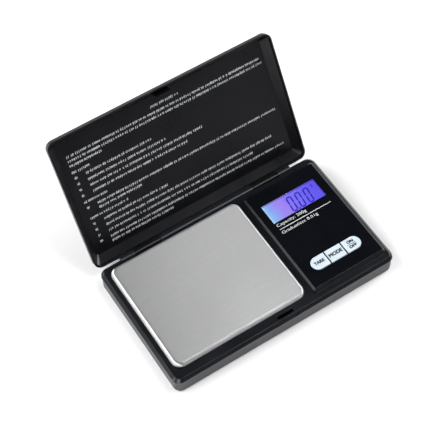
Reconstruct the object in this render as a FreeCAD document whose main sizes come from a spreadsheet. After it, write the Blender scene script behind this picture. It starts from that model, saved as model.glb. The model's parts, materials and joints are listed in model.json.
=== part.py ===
import FreeCAD, Part
import Sketcher
import os

# Pocket gram scale with a flip-open lid, drawn with the lid standing open.
# Millimetres.  X runs along the hinge towards the display, Y from the front
# edge to the hinge, Z up.  Everything is drawn from the middle of the base, on
# the plane the four rubber feet stand on.  The pieces are written out with the
# origin moved back to the middle of the whole outline, open lid included.

doc = FreeCAD.newDocument("gram_scale")

SIZES = (
    ("foot_h", 0.5, "height of the feet below the shell"),
    ("foot_radius", 4.0, "foot radius"),
    ("foot_sink", 0.4, "depth of the foot recess"),
    ("foot_x", 50.0, "feet from the middle, along the hinge"),
    ("foot_y", 30.5, "feet from the middle, front to back"),
    ("shell_w", 127.0, "lower shell width"),
    ("shell_d", 73.4, "lower shell depth"),
    ("shell_h", 8.4, "lower shell height"),
    ("shell_round", 4.0, "plan corner radius of the shell"),
    ("shell_wall", 1.6, "shell side wall"),
    ("shell_floor", 1.5, "shell floor"),
    ("edge_break", 0.5, "chamfer round the bottom edge"),
    ("soft", 0.3, "rounding of the moulded edges"),
    ("box_mid", 21.3, "middle of the whole outline behind the middle of the base"),
    ("cover_over", 0.3, "overhang of the cover past the shell"),
    ("cover_lip", 0.6, "upright edge of the cover"),
    ("cover_bevel", 1.6, "width of the sloping band round the deck"),
    ("cover_rise", 1.4, "height of the sloping band"),
    ("deck_t", 1.5, "deck thickness"),
    ("console_left", 18.2, "console left side"),
    ("console_right", 61.0, "console right side"),
    ("console_half", 32.1, "half the console depth"),
    ("console_up", 1.6, "upright part of the console side"),
    ("console_slope", 1.1, "width of the console edge bevel"),
    ("console_slope_h", 0.8, "height of the console edge bevel"),
    ("console_wall", 1.5, "console wall"),
    ("panel_t", 0.8, "glossy display panel thickness"),
    ("seat_t", 1.0, "plate under the display panel"),
    ("window_left", 23.4, "display window left edge"),
    ("window_right", 55.1, "display window right edge"),
    ("window_low", 10.8, "display window front edge"),
    ("window_high", 22.6, "display window back edge"),
    ("pill_left", 24.9, "left end of the row of keys"),
    ("pill_right", 53.8, "right end of the row of keys"),
    ("pill_low", -23.75, "front side of the keys"),
    ("pill_high", -16.35, "back side of the keys"),
    ("key_split_a", 34.3, "joint between the first two keys"),
    ("key_split_b", 44.1, "joint between the last two keys"),
    ("key_gap", 0.25, "gap round each key"),
    ("key_apart", 0.38, "from the middle of a joint to the key beside it"),
    ("key_web", 0.19, "half the width of the web between two keys"),
    ("key_proud", 0.35, "keys stand above the panel"),
    ("plate_left", -60.1, "weighing platform left side"),
    ("plate_right", 15.0, "weighing platform right side"),
    ("plate_low", -31.1, "weighing platform front side"),
    ("plate_high", 33.0, "weighing platform back side"),
    ("plate_top", 14.0, "top of the weighing platform"),
    ("plate_h", 2.3, "depth of the weighing platform tray"),
    ("plate_t", 0.6, "sheet thickness of the platform"),
    ("plate_round", 4.5, "plan corner radius of the platform"),
    ("plate_roll", 2.0, "rolled edge radius of the platform"),
    ("carrier_in", 1.3, "carrier edge inside the platform edge"),
    ("carrier_low", 11.35, "underside of the platform carrier"),
    ("carrier_t", 1.25, "carrier plate thickness"),
    ("post_low", 8.95, "underside of the carrier foot"),
    ("cell_left", -45.0, "load cell fixed end"),
    ("cell_right", 0.0, "load cell free end"),
    ("cell_mid", 0.95, "load cell centre line"),
    ("cell_half", 4.5, "half the load cell width"),
    ("cell_low", 2.9, "load cell underside"),
    ("cell_top", 8.5, "load cell top"),
    ("hinge_y", 36.96, "hinge axis, from the middle of the base"),
    ("hinge_z", 8.74, "hinge axis height"),
    ("knuckle", 1.9, "hinge knuckle radius"),
    ("pin_radius", 0.7, "hinge pin radius"),
    ("pin_fit", 0.05, "running clearance round the hinge pin"),
    ("hinge_a", 27.6, "inner end of the lid knuckle gap"),
    ("hinge_b", 43.2, "outer end of the lid knuckle gap"),
    ("hinge_c", 50.7, "outer end of the hinge"),
    ("knuckle_gap", 0.3, "side gap between knuckles"),
    ("pin_in", 22.3, "inner end of each hinge pin"),
    ("pin_out", 50.3, "outer end of each hinge pin"),
    ("lid_w", 126.6, "lid width"),
    ("lid_d", 73.2, "lid depth, hinge edge to free edge"),
    ("lid_edge", 3.0, "upright rim of the lid"),
    ("lid_full", 7.0, "lid depth, rim to back"),
    ("lid_slope", 4.0, "width of the outer slope of the lid"),
    ("lid_round", 4.2, "plan corner radius of the lid"),
    ("lid_rim", 1.0, "thickness of the lid rim"),
    ("lid_step", 1.6, "straight part of the inner wall"),
    ("lid_deep", 5.6, "depth of the lid inside"),
    ("lid_fall", 3.4, "slope of the inner wall towards the floor"),
    ("lid_closed", 11.05, "height of the rim when the lid is shut"),
    ("lid_open", 119.8, "opening angle of the lid, degrees"),
    ("hook_y", -33.7, "lid catch, from the middle of the base"),
    ("hook_half", 4.0, "half the width of the lid catch"),
    ("hook_t", 1.0, "thickness of the lid catch"),
    ("hook_tip", 8.1, "lowest point of the catch when shut"),
    ("door_left", 28.0, "battery door inner end"),
    ("door_half", 24.4, "half the battery door width"),
    ("door_tongue", 1.0, "tongue along each side of the door"),
    ("door_t", 0.9, "battery door thickness"),
    ("bay_x", 41.0, "battery bay middle"),
    ("bay_half", 10.4, "half the bay width along the hinge"),
    ("bay_long", 21.6, "half the bay length"),
    ("bay_wall", 1.2, "bay wall"),
    ("bay_roof_low", 5.7, "underside of the bay roof"),
    ("bay_roof_top", 6.6, "top of the bay roof"),
    ("coin_radius", 10.0, "coin cell radius"),
    ("coin_h", 3.2, "coin cell height"),
    ("coin_y", 11.0, "coin cells from the middle, front to back"),
    ("coin_low", 1.9, "underside of the coin cells"),
    ("board_low", 7.0, "circuit board underside"),
    ("board_t", 1.0, "circuit board thickness"),
    ("glass_left", 22.0, "display glass left edge"),
    ("glass_right", 56.5, "display glass right edge"),
    ("glass_low", 8.2, "display glass front edge"),
    ("glass_t", 0.7, "thickness of each display glass"),
    ("screw_x", 59.0, "corner case screws along the hinge"),
    ("screw_y", 32.0, "case screws front to back"),
    ("screw_mid", 15.0, "middle case screws along the hinge"),
)

sheet = doc.addObject("Spreadsheet::Sheet", "sheet")
for row, (alias, number, note) in enumerate(SIZES, start=1):
    sheet.set("A%d" % row, note)
    sheet.set("B%d" % row, str(number))
    sheet.setAlias("B%d" % row, alias)
doc.recompute()


class Size:
    """A number together with the sheet expression that gives it."""

    def __init__(self, number, text):
        self.number = float(number)
        self.text = text

    def __add__(self, other):
        other = size(other)
        return Size(self.number + other.number, "(%s + %s)" % (self.text, other.text))

    def __sub__(self, other):
        other = size(other)
        return Size(self.number - other.number, "(%s - %s)" % (self.text, other.text))

    def __mul__(self, other):
        other = size(other)
        return Size(self.number * other.number, "(%s * %s)" % (self.text, other.text))

    def __truediv__(self, other):
        other = size(other)
        return Size(self.number / other.number, "(%s / %s)" % (self.text, other.text))

    def __neg__(self):
        return Size(-self.number, "(0 - %s)" % self.text)

    def __radd__(self, other):
        return size(other) + self

    def __rsub__(self, other):
        return size(other) - self

    def __rmul__(self, other):
        return size(other) * self


def size(value):
    """A Size from a Size or from a plain number."""
    if isinstance(value, Size):
        return value
    return Size(value, "%.6g" % value if value >= 0 else "(0 - %.6g)" % -value)


class Names:
    """Sheet sizes by name."""


d = Names()
for alias, number, note in SIZES:
    setattr(d, alias, Size(number, "sheet." + alias))

# Heights and outlines used by several pieces.
shell_low = d.foot_h
shell_top = d.foot_h + d.shell_h
floor_top = d.foot_h + d.shell_floor
lip_top = shell_top + d.cover_lip
deck_top = lip_top + d.cover_rise
deck_low = deck_top - d.deck_t
console_edge = deck_top + d.console_up
console_top = console_edge + d.console_slope_h
panel_low = console_top - d.panel_t
seat_low = panel_low - d.seat_t
board_top = d.board_low + d.board_t
half_w = d.shell_w / 2
half_d = d.shell_d / 2
inner_w = half_w - d.shell_wall
inner_d = half_d - d.shell_wall


def bind(thing, prop, value):
    """Tie one property of an object to the sheet."""
    thing.setExpression(prop, size(value).text)


def new_body(label):
    """An empty body named after the piece."""
    body = doc.addObject("PartDesign::Body", label)
    body.Label = label
    return body


def draw_on(body, plane, height=0.0):
    """A sketch on one of the body's own origin planes, raised by height."""
    sketch = body.newObject("Sketcher::SketchObject", body.Name + "_sketch")
    support = [f for f in body.Origin.OriginFeatures if f.Role == plane][0]
    sketch.AttachmentSupport = [(support, "")]
    sketch.MapMode = "FlatFace"
    lift = size(height)
    sketch.AttachmentOffset = FreeCAD.Placement(
        FreeCAD.Vector(0, 0, lift.number), FreeCAD.Rotation())
    bind(sketch, "AttachmentOffset.Base.z", lift)
    return sketch


def rule(sketch, kind, geo, point, value):
    """Fix one point's distance from the sketch origin to the sheet."""
    value = size(value)
    index = sketch.addConstraint(
        Sketcher.Constraint(kind, -1, 1, geo, point, value.number))
    sketch.setExpression("Constraints[%d]" % index, value.text)


def polygon(sketch, corners):
    """A closed outline of straight lines through the corners."""
    corners = [(size(a), size(b)) for a, b in corners]
    first = sketch.GeometryCount
    count = len(corners)
    for i in range(count):
        a = corners[i]
        b = corners[(i + 1) % count]
        sketch.addGeometry(Part.LineSegment(
            FreeCAD.Vector(a[0].number, a[1].number, 0),
            FreeCAD.Vector(b[0].number, b[1].number, 0)), False)
    for i in range(count):
        sketch.addConstraint(Sketcher.Constraint(
            "Coincident", first + i, 2, first + (i + 1) % count, 1))
    for i in range(count):
        rule(sketch, "DistanceX", first + i, 1, corners[i][0])
        rule(sketch, "DistanceY", first + i, 1, corners[i][1])


def rectangle(sketch, left, low, right, high):
    """A plain rectangle."""
    polygon(sketch, ((left, low), (right, low), (right, high), (left, high)))


def disc(sketch, x, y, radius):
    """A circle."""
    x, y, radius = size(x), size(y), size(radius)
    geo = sketch.addGeometry(Part.Circle(
        FreeCAD.Vector(x.number, y.number, 0), FreeCAD.Vector(0, 0, 1), radius.number), False)
    rule(sketch, "DistanceX", geo, 3, x)
    rule(sketch, "DistanceY", geo, 3, y)
    index = sketch.addConstraint(Sketcher.Constraint("Radius", geo, radius.number))
    sketch.setExpression("Constraints[%d]" % index, radius.text)


def rounded(sketch, left, low, right, high, radius):
    """A rectangle with four equal round corners."""
    left, low, right, high = size(left), size(low), size(right), size(high)
    radius = size(radius)
    x0, y0, x1, y1, r = (left.number, low.number, right.number, high.number, radius.number)
    vector = FreeCAD.Vector
    half_turn = 3.141592653589793
    first = sketch.GeometryCount
    lines = (
        (vector(x0 + r, y0, 0), vector(x1 - r, y0, 0)),
        (vector(x1, y0 + r, 0), vector(x1, y1 - r, 0)),
        (vector(x1 - r, y1, 0), vector(x0 + r, y1, 0)),
        (vector(x0, y1 - r, 0), vector(x0, y0 + r, 0)),
    )
    arcs = (
        (vector(x1 - r, y0 + r, 0), -0.5),
        (vector(x1 - r, y1 - r, 0), 0.0),
        (vector(x0 + r, y1 - r, 0), 0.5),
        (vector(x0 + r, y0 + r, 0), 1.0),
    )
    for start, end in lines:
        sketch.addGeometry(Part.LineSegment(start, end), False)
    for centre, turn in arcs:
        circle = Part.Circle(centre, vector(0, 0, 1), r)
        sketch.addGeometry(Part.ArcOfCircle(
            circle, turn * half_turn, (turn + 0.5) * half_turn), False)
    for i in range(4):
        sketch.addConstraint(Sketcher.Constraint("Tangent", first + i, 2, first + 4 + i, 1))
        sketch.addConstraint(Sketcher.Constraint(
            "Tangent", first + 4 + i, 2, first + (i + 1) % 4, 1))
    sketch.addConstraint(Sketcher.Constraint("Horizontal", first))
    sketch.addConstraint(Sketcher.Constraint("Vertical", first + 1))
    sketch.addConstraint(Sketcher.Constraint("Horizontal", first + 2))
    sketch.addConstraint(Sketcher.Constraint("Vertical", first + 3))
    for i in range(1, 4):
        sketch.addConstraint(Sketcher.Constraint("Equal", first + 4, first + 4 + i))
    index = sketch.addConstraint(Sketcher.Constraint("Radius", first + 4, r))
    sketch.setExpression("Constraints[%d]" % index, radius.text)
    rule(sketch, "DistanceY", first, 1, low)
    rule(sketch, "DistanceX", first + 1, 1, right)
    rule(sketch, "DistanceY", first + 2, 1, high)
    rule(sketch, "DistanceX", first + 3, 1, left)


def pad(body, sketch, length, flip=False, middle=False):
    """Raise a sketch into a solid step."""
    step = body.newObject("PartDesign::Pad", body.Name + "_pad")
    step.Profile = sketch
    step.Length = size(length).number
    bind(step, "Length", length)
    step.Reversed = flip
    if middle:
        step.SideType = "Symmetric"
    doc.recompute()
    return step


def pocket(body, sketch, length, flip=False, middle=False):
    """Cut a sketch into the body; the volume has to go down."""
    before = body.Shape.Volume
    step = body.newObject("PartDesign::Pocket", body.Name + "_pocket")
    step.Profile = sketch
    step.Length = size(length).number
    bind(step, "Length", length)
    step.Reversed = flip
    if middle:
        step.SideType = "Symmetric"
    doc.recompute()
    if body.Shape.Volume >= before - 1e-6:
        raise RuntimeError("%s: the cut %s removes nothing" % (body.Label, step.Name))
    return step


def loft(body, lower, upper, cut=False):
    """A straight-sided transition between two like outlines."""
    kind = "PartDesign::SubtractiveLoft" if cut else "PartDesign::AdditiveLoft"
    step = body.newObject(kind, body.Name + "_loft")
    step.Profile = lower
    step.Sections = [upper]
    step.Ruled = True
    doc.recompute()
    return step


def dress(body, kind, chosen, amount):
    """Chamfer or round the chosen edges of the body's last step."""
    base = body.Tip
    names = ["Edge%d" % (i + 1) for i, edge in enumerate(base.Shape.Edges) if chosen(edge)]
    step = body.newObject("PartDesign::" + kind, body.Name + "_" + kind.lower())
    step.Base = (base, names)
    prop = "Radius" if kind == "Fillet" else "Size"
    setattr(step, prop, size(amount).number)
    bind(step, prop, amount)
    doc.recompute()
    return step


def at_height(level):
    """Chooses the edges that lie wholly at one height."""
    level = size(level).number

    def chosen(edge):
        box = edge.BoundBox
        return abs(box.ZMin - level) < 1e-4 and abs(box.ZMax - level) < 1e-4
    return chosen


def place(thing, x, y, z):
    """Put a primitive's own origin at a point."""
    for axis, value in zip("xyz", (x, y, z)):
        bind(thing, "Placement.Base." + axis, value)
    return thing


def block(label, x0, y0, z0, x1, y1, z1):
    """A plain block between two corners."""
    thing = doc.addObject("Part::Box", label)
    thing.Label = label
    bind(thing, "Length", size(x1) - x0)
    bind(thing, "Width", size(y1) - y0)
    bind(thing, "Height", size(z1) - z0)
    return place(thing, x0, y0, z0)


def rod(label, x, y, z, radius, length, along="Z"):
    """A round bar from a point, up or along X."""
    thing = doc.addObject("Part::Cylinder", label)
    thing.Label = label
    bind(thing, "Radius", radius)
    bind(thing, "Height", length)
    if along == "X":
        thing.Placement.Rotation = FreeCAD.Rotation(FreeCAD.Vector(0, 1, 0), 90)
    return place(thing, x, y, z)


def taper(label, x, y, z, low_radius, top_radius, length):
    """A round taper standing on a point."""
    thing = doc.addObject("Part::Cone", label)
    thing.Label = label
    bind(thing, "Radius1", low_radius)
    bind(thing, "Radius2", top_radius)
    bind(thing, "Height", length)
    return place(thing, x, y, z)


def join(label, *parts):
    """One solid out of overlapping primitives."""
    thing = doc.addObject("Part::MultiFuse", label)
    thing.Label = label
    thing.Shapes = list(parts)
    return thing


def group(label, *parts):
    """Several like solids kept as one piece of the assembly."""
    thing = doc.addObject("Part::Compound", label)
    thing.Label = label
    thing.Links = list(parts)
    return thing


def around(x, y):
    """The four corners at plus and minus x and y."""
    return ((-x, -y), (x, -y), (x, y), (-x, y))


screw_spots = around(d.screw_x, d.screw_y) + ((d.screw_mid, -d.screw_y), (d.screw_mid, d.screw_y))
foot_spots = around(d.foot_x, d.foot_y)


def both_sides(left, right):
    """A span along the hinge and its mirror image."""
    return ((left, right), (-right, -left))


def cut_knuckle_room(body, top, low, front):
    """Clear the two rear pockets the lid knuckles turn in."""
    sketch = draw_on(body, "XY_Plane", top)
    for left, right in both_sides(d.hinge_a, d.hinge_b):
        rectangle(sketch, left, front, right, half_d + 6)
    pocket(body, sketch, size(top) - low)


# ---------------------------------------------------------------- lower shell

def build_bottom_shell():
    body = new_body("bottom_shell")
    sketch = draw_on(body, "XY_Plane", shell_low)
    rounded(sketch, -half_w, -half_d, half_w, half_d, d.shell_round)
    pad(body, sketch, d.shell_h)
    dress(body, "Chamfer", at_height(shell_low), d.edge_break)

    sketch = draw_on(body, "XY_Plane", shell_top)
    rounded(sketch, -inner_w, -inner_d, inner_w, inner_d, d.shell_round - d.shell_wall)
    pocket(body, sketch, d.shell_h - d.shell_floor)

    # Thicker rear wall behind the knuckle pockets.
    sketch = draw_on(body, "XY_Plane", floor_top - 0.2)
    for left, right in both_sides(d.hinge_a - 1.2, d.hinge_c + 1.2):
        rectangle(sketch, left, inner_d - 1.9, right, inner_d + 0.2)
    pad(body, sketch, shell_top - floor_top + 0.2)

    # Thicker floor round the battery bay, then the bay box.
    sketch = draw_on(body, "XY_Plane", floor_top - 0.2)
    rectangle(sketch, d.door_left - 2, -d.door_half - 2.2, inner_w + 0.2, d.door_half + 2.2)
    pad(body, sketch, 0.8)
    sketch = draw_on(body, "XY_Plane", floor_top - 0.2)
    rectangle(sketch, d.bay_x - d.bay_half - d.bay_wall, -d.bay_long - d.bay_wall,
              d.bay_x + d.bay_half + d.bay_wall, d.bay_long + d.bay_wall)
    pad(body, sketch, d.bay_roof_top - floor_top + 0.2)
    sketch = draw_on(body, "XY_Plane", shell_low)
    rectangle(sketch, d.bay_x - d.bay_half, -d.bay_long, d.bay_x + d.bay_half, d.bay_long)
    pocket(body, sketch, d.bay_roof_low - shell_low, flip=True)

    # Slots in the bay roof for the contact tabs.
    sketch = draw_on(body, "XY_Plane", d.bay_roof_top)
    for side in (-1, 1):
        middle = d.coin_y * side
        rectangle(sketch, d.bay_x - 7.0, middle - 1.2, d.bay_x - 6.2, middle + 1.2)
        rectangle(sketch, d.bay_x + d.bay_half - 0.45, middle - 1.2,
                  d.bay_x + d.bay_half - 0.002, middle + 1.2)
    pocket(body, sketch, d.bay_roof_top - d.bay_roof_low + 0.2)

    # Track the battery door slides in, open at the right-hand side.
    sketch = draw_on(body, "XY_Plane", shell_low)
    rectangle(sketch, d.door_left, -d.door_half, half_w + 1, d.door_half)
    pocket(body, sketch, 1.05, flip=True)
    sketch = draw_on(body, "XY_Plane", shell_low + 0.45)
    rectangle(sketch, d.door_left, -d.door_half - d.door_tongue - 0.1,
              half_w + 1, d.door_half + d.door_tongue + 0.1)
    pocket(body, sketch, 0.6, flip=True)

    # Seat and screw holes for the load cell.
    sketch = draw_on(body, "XY_Plane", floor_top - 0.2)
    rectangle(sketch, d.cell_left, d.cell_mid - 5, d.cell_left + 12, d.cell_mid + 5)
    pad(body, sketch, d.cell_low - floor_top + 0.2)
    sketch = draw_on(body, "XY_Plane", shell_low)
    for shift in (3, 9):
        disc(sketch, d.cell_left + shift, d.cell_mid, 1.35)
    pocket(body, sketch, 3.0, flip=True)
    sketch = draw_on(body, "XY_Plane", shell_low)
    for shift in (3, 9):
        disc(sketch, d.cell_left + shift, d.cell_mid, 2.6)
    pocket(body, sketch, 1.2, flip=True)

    # Bosses and counterbored holes for the case screws.
    sketch = draw_on(body, "XY_Plane", floor_top - 0.2)
    for x, y in screw_spots:
        disc(sketch, x, y, 2.4)
    pad(body, sketch, 3.2)
    sketch = draw_on(body, "XY_Plane", shell_low)
    for x, y in screw_spots:
        disc(sketch, x, y, 1.15)
    pocket(body, sketch, 6, flip=True)
    sketch = draw_on(body, "XY_Plane", shell_low)
    for x, y in screw_spots:
        disc(sketch, x, y, 2.1)
    pocket(body, sketch, 1.4, flip=True)

    # Recesses for the rubber feet.
    sketch = draw_on(body, "XY_Plane", shell_low)
    for x, y in foot_spots:
        disc(sketch, x, y, d.foot_radius + 0.05)
    pocket(body, sketch, d.foot_sink, flip=True)

    # Rear knuckles on a web that grows out of the back wall.
    cut_knuckle_room(body, shell_top, hinge_floor, d.hinge_y - d.knuckle - 0.36)
    spans = ((-d.hinge_a, d.hinge_a),) + both_sides(d.hinge_b, d.hinge_c)
    for left, right in spans:
        sketch = draw_on(body, "YZ_Plane", left)
        polygon(sketch, ((d.hinge_y - d.knuckle, 5.0), (half_d, 5.0),
                         (d.hinge_y + d.knuckle, 7.4), (d.hinge_y + d.knuckle, d.hinge_z),
                         (d.hinge_y - d.knuckle, d.hinge_z)))
        pad(body, sketch, right - left)
        sketch = draw_on(body, "YZ_Plane", left)
        disc(sketch, d.hinge_y, d.hinge_z, d.knuckle)
        pad(body, sketch, right - left)
    for left, right in ((d.pin_in - 0.1, d.hinge_c + 1), (-d.hinge_c - 1, -d.pin_in + 0.1)):
        sketch = draw_on(body, "YZ_Plane", left)
        disc(sketch, d.hinge_y, d.hinge_z, d.pin_radius + 0.02)
        pocket(body, sketch, right - left, flip=True)
    return body


# ------------------------------------------------------------------ top cover

def build_top_cover():
    body = new_body("top_cover")
    wide = half_w + d.cover_over
    deep = half_d + d.cover_over
    edge = d.shell_round + d.cover_over
    sketch = draw_on(body, "XY_Plane", shell_top)
    rounded(sketch, -wide, -deep, wide, deep, edge)
    pad(body, sketch, d.cover_lip)
    low = draw_on(body, "XY_Plane", lip_top)
    rounded(low, -wide, -deep, wide, deep, edge)
    high = draw_on(body, "XY_Plane", deck_top)
    rounded(high, d.cover_bevel - wide, d.cover_bevel - deep,
            wide - d.cover_bevel, deep - d.cover_bevel, edge - d.cover_bevel)
    loft(body, low, high)
    dress(body, "Fillet", at_height(lip_top), d.soft)
    dress(body, "Fillet", at_height(deck_top), d.soft)

    # Raised console with a bevelled edge.
    sketch = draw_on(body, "XY_Plane", deck_top - 0.3)
    rounded(sketch, d.console_left, -d.console_half, d.console_right, d.console_half, 1.5)
    pad(body, sketch, d.console_up + 0.3)
    low = draw_on(body, "XY_Plane", console_edge)
    rounded(low, d.console_left, -d.console_half, d.console_right, d.console_half, 1.5)
    high = draw_on(body, "XY_Plane", console_top)
    rounded(high, d.console_left + d.console_slope, d.console_slope - d.console_half,
            d.console_right - d.console_slope, d.console_half - d.console_slope, 0.5)
    loft(body, low, high)
    dress(body, "Fillet", at_height(console_edge), d.soft)
    dress(body, "Fillet", at_height(console_top), d.soft * 0.7)

    # Hollow underside: the rim step, then the space inside the console.
    sketch = draw_on(body, "XY_Plane", shell_top)
    rounded(sketch, -inner_w, -inner_d, inner_w, inner_d, d.shell_round - d.shell_wall)
    pocket(body, sketch, deck_low - shell_top, flip=True)
    sketch = draw_on(body, "XY_Plane", shell_top)
    rectangle(sketch, d.console_left + d.console_wall, d.console_wall - d.console_half,
              d.console_right - d.console_wall, d.console_half - d.console_wall)
    pocket(body, sketch, seat_low - shell_top, flip=True)

    # Recess for the display panel, the lens seat, the display and key openings.
    inset = d.console_slope + 0.2
    sketch = draw_on(body, "XY_Plane", console_top)
    rectangle(sketch, d.console_left + inset, inset - d.console_half,
              d.console_right - inset, d.console_half - inset)
    pocket(body, sketch, d.panel_t)
    sketch = draw_on(body, "XY_Plane", panel_low)
    rectangle(sketch, d.window_left - 1, d.window_low - 1, d.window_right + 1, d.window_high + 1)
    pocket(body, sketch, 0.4)
    sketch = draw_on(body, "XY_Plane", panel_low)
    rectangle(sketch, d.window_left - 0.3, d.window_low - 0.3,
              d.window_right + 0.3, d.window_high + 0.3)
    pocket(body, sketch, d.seat_t + 0.2)
    sketch = draw_on(body, "XY_Plane", panel_low)
    rounded(sketch, d.pill_left - d.key_gap, d.pill_low - d.key_gap,
            d.pill_right + d.key_gap, d.pill_high + d.key_gap, 3.9)
    pocket(body, sketch, d.seat_t + 0.2)

    # Tongues that locate the cover inside the shell.
    sketch = draw_on(body, "XY_Plane", shell_top - 1)
    fit = 0.1
    for left, right in both_sides(8.0, 54.0):
        rectangle(sketch, left, fit - inner_d, right, fit + 1 - inner_d)
    rectangle(sketch, fit - inner_w, -28, fit + 1 - inner_w, 28)
    rectangle(sketch, inner_w - fit - 1, -28, inner_w - fit, 28)
    pad(body, sketch, deck_low - shell_top + 1.2)

    # Posts for the case screws and for the circuit board.
    sketch = draw_on(body, "XY_Plane", floor_top + 3)
    for x, y in screw_spots:
        disc(sketch, x, y, 2.2)
    pad(body, sketch, deck_low - floor_top - 3 + 0.2)
    sketch = draw_on(body, "XY_Plane", floor_top + 3)
    for x, y in screw_spots:
        disc(sketch, x, y, 1.02)
    pocket(body, sketch, 3.6, flip=True)
    sketch = draw_on(body, "XY_Plane", board_top)
    for x, y in board_spots:
        disc(sketch, x, y, 1.7)
    pad(body, sketch, seat_low - board_top + 0.2)
    sketch = draw_on(body, "XY_Plane", board_top)
    for x, y in board_spots:
        disc(sketch, x, y, 0.82)
    pocket(body, sketch, 2.6, flip=True)

    # Openings in the deck for the carrier foot and the lid catch.
    sketch = draw_on(body, "XY_Plane", deck_top)
    rectangle(sketch, d.cell_right - 13.4, d.cell_mid - 6.8, d.cell_right + 1.4, d.cell_mid + 6.8)
    rectangle(sketch, -d.hook_half - 0.5, d.hook_y - 0.8, d.hook_half + 0.5, d.hook_y + 0.8)
    pocket(body, sketch, d.deck_t + 0.1)

    # Finger scoop in the front edge.
    sketch = draw_on(body, "XY_Plane", deck_top)
    rectangle(sketch, -7.0, -half_d - 1, 6.0, 0.7 - half_d)
    pocket(body, sketch, d.cover_rise + 0.15)

    # Room for the hinge knuckles along the rear edge.
    sketch = draw_on(body, "YZ_Plane", -d.hinge_c - 0.25)
    disc(sketch, d.hinge_y, d.hinge_z, d.knuckle + 0.25)
    pocket(body, sketch, d.hinge_c * 2 + 0.5, flip=True)
    cut_knuckle_room(body, deck_top, shell_top - 0.1, d.hinge_y - d.knuckle - 0.36)
    return body


# ------------------------------------------------------------------------ lid

def build_lid():
    """Drawn shut, with the hinge axis on its own X axis, then swung open."""
    body = new_body("lid")
    back = half_d - 0.1 - d.hinge_y
    front = back - d.lid_d
    rim = d.lid_closed - d.hinge_z
    half = d.lid_w / 2
    sketch = draw_on(body, "XY_Plane", rim)
    rounded(sketch, -half, front, half, back, d.lid_round)
    pad(body, sketch, d.lid_edge)
    low = draw_on(body, "XY_Plane", rim + d.lid_edge)
    rounded(low, -half, front, half, back, d.lid_round)
    high = draw_on(body, "XY_Plane", rim + d.lid_full)
    rounded(high, d.lid_slope - half, front + d.lid_slope,
            half - d.lid_slope, back - d.lid_slope, 1.2)
    loft(body, low, high)
    dress(body, "Fillet", at_height(rim + d.lid_edge), d.soft * 2)
    dress(body, "Fillet", at_height(rim + d.lid_full), d.soft * 2)
    dress(body, "Fillet", at_height(rim), d.soft * 0.7)

    # Hollow inside: a straight step behind the rim, then sloping walls.
    x = half - d.lid_rim
    sketch = draw_on(body, "XY_Plane", rim)
    rounded(sketch, -x, front + d.lid_rim, x, back - d.lid_rim, d.lid_round - d.lid_rim)
    pocket(body, sketch, d.lid_step, flip=True)
    mouth = x.number

    def inner_rim(edge):
        """The edges of the rim on its inner side."""
        box = edge.BoundBox
        inside = max(abs(box.XMin), abs(box.XMax)) < mouth + 1e-4
        inside = inside and box.YMin > (front + d.lid_rim).number - 1e-4
        inside = inside and box.YMax < (back - d.lid_rim).number + 1e-4
        return inside and at_height(rim)(edge)
    dress(body, "Fillet", inner_rim, d.soft * 0.7)
    low = draw_on(body, "XY_Plane", rim + d.lid_step)
    rounded(low, -x, front + d.lid_rim, x, back - d.lid_rim, d.lid_round - d.lid_rim)
    high = draw_on(body, "XY_Plane", rim + d.lid_deep)
    inset = d.lid_rim + d.lid_fall
    rounded(high, inset - half, front + inset, half - inset, back - inset, 1.0)
    loft(body, low, high, cut=True)

    # Knuckles with the arms that carry them.
    for left, right in both_sides(d.hinge_a + d.knuckle_gap, d.hinge_b - d.knuckle_gap):
        sketch = draw_on(body, "YZ_Plane", left)
        polygon(sketch, ((-d.knuckle, 0), (d.knuckle, 0), (d.knuckle, rim),
                         (back, rim + d.lid_edge - 0.2), (back - 1.0, rim + d.lid_edge - 0.2),
                         (back - 1.0, rim + 0.4), (-d.knuckle, rim - 0.5)))
        pad(body, sketch, right - left)
        sketch = draw_on(body, "YZ_Plane", left)
        disc(sketch, 0, 0, d.knuckle)
        pad(body, sketch, right - left)
        sketch = draw_on(body, "YZ_Plane", left - 1)
        disc(sketch, 0, 0, d.pin_radius + d.pin_fit)
        pocket(body, sketch, right - left + 2, flip=True)

    # Catch that drops into the slot in the deck.
    tip = d.hook_tip - d.hinge_z
    middle = d.hook_y - d.hinge_y
    sketch = draw_on(body, "XY_Plane", tip)
    rectangle(sketch, -d.hook_half, middle - d.hook_t / 2, d.hook_half, middle + d.hook_t / 2)
    pad(body, sketch, rim + d.lid_edge + 1.7 - tip)

    bind(body, "Placement.Base.y", d.hinge_y)
    bind(body, "Placement.Base.z", d.hinge_z)
    body.Placement.Rotation = FreeCAD.Rotation(FreeCAD.Vector(1, 0, 0), -d.lid_open.number)
    bind(body, "Placement.Rotation.Angle", -d.lid_open)
    return body


# ------------------------------------------------- weighing platform and cell

def build_platform():
    body = new_body("weighing_platform")
    low = d.plate_top - d.plate_h
    sketch = draw_on(body, "XY_Plane", low)
    rounded(sketch, d.plate_left, d.plate_low, d.plate_right, d.plate_high, d.plate_round)
    pad(body, sketch, d.plate_h)
    dress(body, "Fillet", at_height(d.plate_top), d.plate_roll)
    base = body.Tip
    under = ["Face%d" % (i + 1) for i, face in enumerate(base.Shape.Faces)
             if abs(face.BoundBox.ZMax - low.number) < 1e-4]
    step = body.newObject("PartDesign::Thickness", "weighing_platform_sheet")
    step.Base = (base, under)
    step.Value = d.plate_t.number
    bind(step, "Value", d.plate_t)
    step.Reversed = True
    doc.recompute()
    return body


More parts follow.
